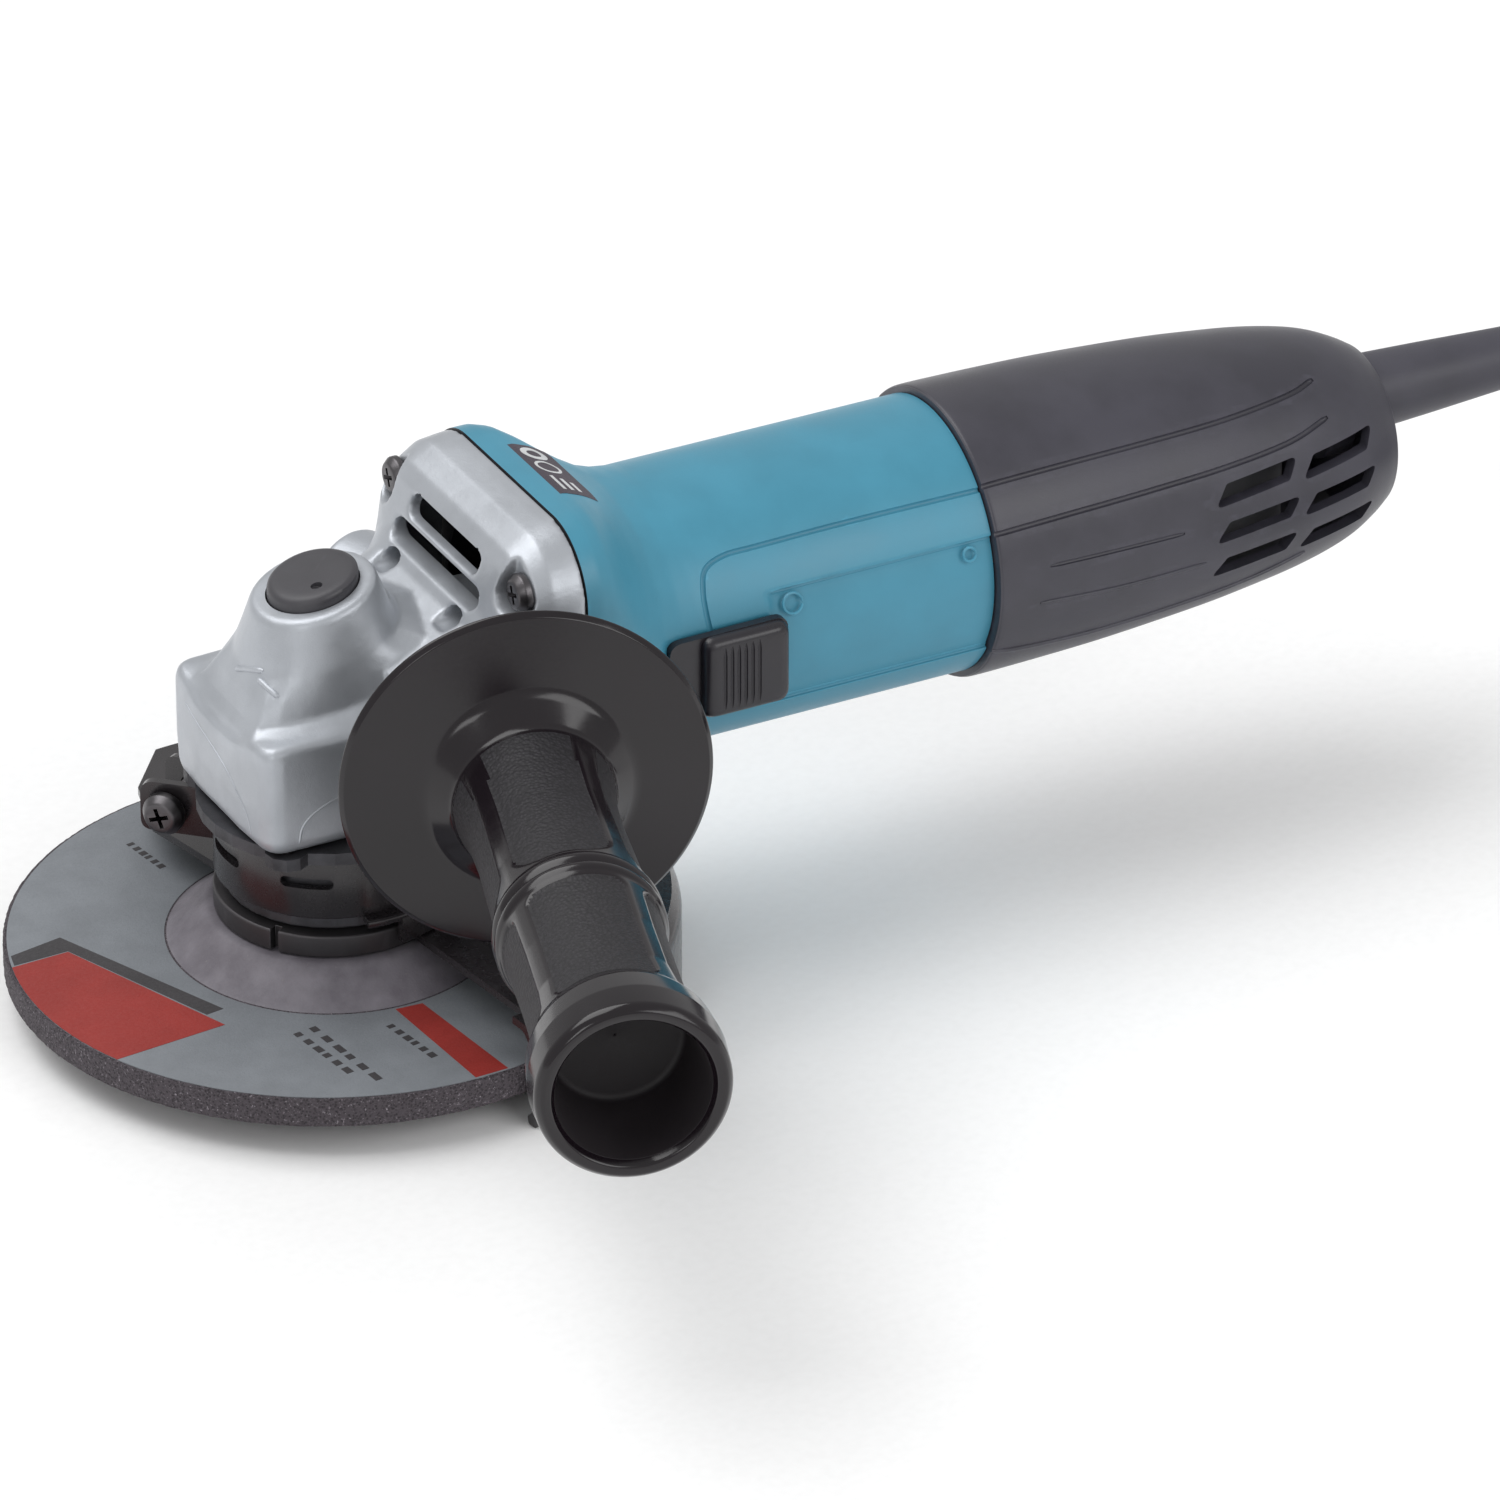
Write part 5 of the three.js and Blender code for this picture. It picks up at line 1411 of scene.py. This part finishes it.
def make_knob():
    """The slide switch's thumb piece: a raised pad with ribs, on a flatter base."""
    face = -27.3

    def out(p):
        return (p[0], face - p[2], p[1])

    base_outline = rounded([(57, 49.6), (82, 49.3), (82, 66.7), (57, 66.4)], 2.6, 6)
    base = slab("switch_thumb", base_outline, 0, 1.7, place=out)
    rings = []
    for inset, rise in ((0, 0.2), (0, 2.6), (0.5, 3.6), (1.3, 4.1), (2.6, 4.2)):
        left, right, foot, top = 63.5 + inset, 81.6 - inset, 49.6 + inset, 66.4 - inset
        outline = rounded([(left, foot), (right, foot), (right, top), (left, top)], 2.4, 6)
        rings.append([out((a, b, rise)) for a, b in outline])
    pad = loft("pad", rings)
    stem = block("stem", (67, 71.5), (-28, -22.6), (56.6, 60.4))
    join(base, pad, stem)
    cut(base, *[pipe("groove", [(67.4 + k * 1.45, face - 4.3, z) for z in np.linspace(51.4, 64.6, 8)], 0.42, 10)
                for k in range(6)])
    settle(bevel(base, 0.25, 2), SWITCH, "knob_black", ["switch_knob"])


# ---- side handle

PANEL_MIDDLE = math.radians(98)
PANEL_HALF = math.radians(37)
PANELS = [(25.0, 68.0), (77.0, 112.0)]
PANEL_DEPTH = 0.55
RINGS_START = 69.5
RING_WIDTH = 3.25


def panel_depth(s, angle):
    """How deep a stippled panel lies at a spot on the grip, from 0 to 1."""
    best = 0.0
    for start, end in PANELS:
        for quarter in range(4):
            off = (angle - PANEL_MIDDLE - quarter * math.pi / 2 + math.pi) % (2 * math.pi) - math.pi
            half_length, half_width = (end - start) / 2, PANEL_HALF * 14.5
            corner = 6.0 if start < 30 else 2.5
            dx = abs(s - (start + end) / 2) - half_length + corner
            dy = abs(off * 14.5) - half_width + corner
            outside = math.hypot(max(dx, 0), max(dy, 0)) + min(max(dx, dy), 0) - corner
            best = max(best, min(1.0, max(0.0, 0.5 - outside / 0.8)))
    return best


def make_grip():
    """The side handle: hand shield, stippled grip, double ring and hollow cap."""
    segments = 240
    outline = rounded([
        (4.3, 0.4), (8.6, 0.4), (9.6, 4, 1.5), (13, 9.5, 3), (22, 12.6, 6), (34.2, 13.7, 0.5),
        (35.3, 14.7, 0.8), (34.2, 15.9, 0.6), (20, 19.0, 5), (15.3, 23.5, 3), (14.7, 32)], 0.4, 8, closed=False)
    body = [(s, r) for r, s in outline]
    for s in np.arange(33, 69.5, 0.5):
        body.append((s, float(np.interp(s, [32, 42, 60, 69.5], [14.7, 14.4, 14.9, 15.4]))))
    for s in np.linspace(RINGS_START, RINGS_START + 2 * RING_WIDTH, 27):
        start = RINGS_START + (0 if s < RINGS_START + RING_WIDTH else RING_WIDTH)
        body.append((s, 15.4 + 0.6 * max(0.0, math.sin((s - start) / RING_WIDTH * math.pi))))
    for s in np.arange(76.5, 113, 0.5):
        body.append((s, float(np.interp(s, [76, 90, 104, 113], [15.3, 15.0, 15.1, 16.0]))))
    cap = rounded([(16.0, 113), (17.5, 116, 4), (18.2, 122, 3), (17.9, 128, 2.2), (16.6, 129.4, 1.2),
                   (15.0, 129.0, 0.8), (14.2, 127.6, 0.8), (13.9, 124, 0.8), (12.6, 109.6, 1.5), (0.05, 108.6),
                   (0.05, 106), (4.3, 106)], 0.5, 6, closed=False)
    body += [(s, r) for r, s in cap[1:]]
    angles = circle(segments)
    rings = []
    for s, radius in body:
        if 22 < s < 113 and radius > 14:
            radii = [radius - PANEL_DEPTH * panel_depth(s, a) for a in angles]
        else:
            radii = [radius] * segments
        rings.append([along_handle(r, s, a) for r, a in zip(radii, angles)])
    grip = loft("grip", rings, loop=True)
    for look in (LOOKS["handle_black"], EXTRA["grip_panel"], EXTRA["cap_hollow_painted_shade"]):
        grip.data.materials.append(look)
    for face in grip.data.polygons:
        middle = np.array(face.center) / MM - HANDLE_FACE
        s, across, up = float(middle @ HANDLE_OUT), float(middle @ HANDLE_SIDE), float(middle[2])
        angle, radius = math.atan2(up, across), math.hypot(up, across)
        # Faces inside the cap's hollow take the matte near-black nylon: painted shade.
        if s > 108 and radius < 14.4:
            face.material_index = 2
        else:
            face.material_index = int(13.5 < radius < 20 and 22 < s < 113 and panel_depth(s, angle) > 0.6)
    crease(grip, 50)
    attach(grip, ROOT)
    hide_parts("side_handle")


# ---- stickers and marks

STICKER_X = 44.3
# The shoulder's half height, corner and half width at some places along X.
SHOULDER = [(38, 35, 14.4, 32), (44.5, 34.6, 15.6, 31.6), (47.5, 33.4, 18.4, 30.7), (50.5, 31.8, 21.6, 29.7),
            (53.5, 30.3, 24.3, 28.9), (57, 28.8, 26.5, 28.1)]


def on_flange_top(u, v, lift):
    """A spot on the motor housing's top shoulder: u across it, v along the motor."""
    x = STICKER_X + v
    half, corner, wide = between(SHOULDER, x)
    over = max(0.0, abs(u) - (wide - corner))
    drop = corner - math.sqrt(max(0.0, corner * corner - over * over))
    return (x, u, AXIS_Z + half - drop + lift)


def make_sticker():
    """A plain dark sticker with two pale rings and short bars on the housing's shoulder."""
    def sheet(name, u, v, low, high, look, steps=16):
        size = steps + 1
        grid = [on_flange_top(u[0] + (u[1] - u[0]) * i / steps, v[0] + (v[1] - v[0]) * j / steps, lift)
                for lift in (low, high) for i in range(size) for j in range(size)]
        corners = [level * size * size + i * size + j
                   for level in (0, 1) for i in range(steps) for j in range(steps)]
        faces = [(a, a + 1, a + size + 1, a + size) for a in corners]
        edge = [i * size for i in range(size)] + [steps * size + j for j in range(1, size)]
        edge += [i * size + steps for i in range(steps - 1, -1, -1)] + [j for j in range(steps - 1, 0, -1)]
        for a, b in zip(edge, edge[1:] + edge[:1]):
            faces.append((a, b, b + size * size, a + size * size))
        settle(new_object(name, grid, faces), ROOT, "teal_shell", look=look)

    sheet("shoulder_sticker", (-11, 11), (-1.5, 7.0), -0.15, 0.08, EXTRA["sticker_dark"])

    def dial(name, middle_u, middle_v, inner, outer):
        rings = [[on_flange_top(middle_u + radius * math.cos(a), middle_v + radius * math.sin(a), lift)
                  for a in circle(48)]
                 for radius, lift in ((inner, 0.02), (outer, 0.02), (outer, 0.14), (inner, 0.14))]
        settle(loft(name, rings, loop=True), ROOT, "teal_shell", look=EXTRA["sticker_light"])

    dial("sticker_ring_1", 7.2, 2.8, 1.4, 2.6)
    dial("sticker_ring_2", 1.2, 2.8, 2.0, 2.6)
    for index, v in enumerate((1.2, 2.8, 4.4)):
        sheet(f"sticker_bar_{index + 1}", (-9, -3 - index), (v - 0.35, v + 0.35), 0.02, 0.14,
              EXTRA["sticker_light"], 6)


def make_side_marks():
    """Small moulded marks beside the switch: two rings, one larger than the other."""
    for index, (x, angle, size) in enumerate(((84.5, 17.5, 2.0), (122.5, 19.0, 1.3))):
        a = math.radians(angle)
        centre = np.array([x, -BARREL * math.cos(a), AXIS_Z + BARREL * math.sin(a)])
        along = np.array([1.0, 0, 0])
        up = np.array([0, math.sin(a), math.cos(a)])
        points = [centre + size * (math.cos(t) * along + math.sin(t) * up)
                  for t in np.linspace(0, 2 * math.pi * 0.97, 32)]
        mark = pipe(f"side_mark_{index + 1}", points, 0.3, 8)
        settle(mark, ROOT, "teal_shell")


# ---- studio

FLOOR_SIZE = 6.0
FLOOR_STRIPS = 24
FLOOR_GAP = 0.0002
WORLD_STRENGTH = 0.6
# Each light's place, the spot it faces, its width, its height (all in metres) and its watts.
LIGHTS = {
    "key": ((-0.9, 1.0, 2.7), (0.08, 0, 0.05), 2.6, 2.2, 54),
    "fill": ((-2.2, -1.6, 1.4), (0.05, -0.05, 0.05), 0.7, 1.2, 8),
    "side": ((0.9, -2.0, 1.3), (0.05, 0, 0.06), 1.8, 1.2, 18),
}


def make_studio():
    """A pale floor, an even white surround and three soft lights."""
    half = FLOOR_SIZE / 2
    mesh = bpy.data.meshes.new("studio_floor")
    points = [(x, -half + FLOOR_SIZE * (row / FLOOR_STRIPS), FLOOR * MM - FLOOR_GAP)
              for row in range(FLOOR_STRIPS + 1) for x in (-half, half)]
    mesh.from_pydata(points, [], [(a, a + 1, a + 3, a + 2) for a in range(0, 2 * FLOOR_STRIPS, 2)])
    floor = placed("studio_floor", mesh)
    floor.data.materials.append(studio_floor())

    world = bpy.data.worlds.new("studio")
    bpy.context.scene.world = world
    world.use_nodes = True
    background = world.node_tree.nodes["Background"]
    background.inputs["Color"].default_value = (1.0, 1.0, 1.0, 1)
    background.inputs["Strength"].default_value = WORLD_STRENGTH

    for name, (place, target, width, height, power) in LIGHTS.items():
        data = bpy.data.lights.new(name, "AREA")
        data.shape = "RECTANGLE"
        data.size = width
        data.size_y = height
        data.energy = power
        light = placed(name, data)
        light.location = place
        light.rotation_euler = (Vector(target) - Vector(place)).to_track_quat("-Z", "Y").to_euler()
    bpy.context.scene.view_settings.view_transform = "Standard"


# ---- everything

make_camera()
make_cord()
make_relief()
make_disc()
make_disc_label()
make_spindle_hardware()
make_guard()
make_guard_band()
make_clamp_screw()
make_gear_shell()
make_head_screws()
make_bearing_screws()
make_button()
make_lock_spring()
make_motor_shell()
make_tail_shell()
make_knob()
make_grip()
make_sticker()
make_side_marks()
dress_kept_nodes()
make_studio()
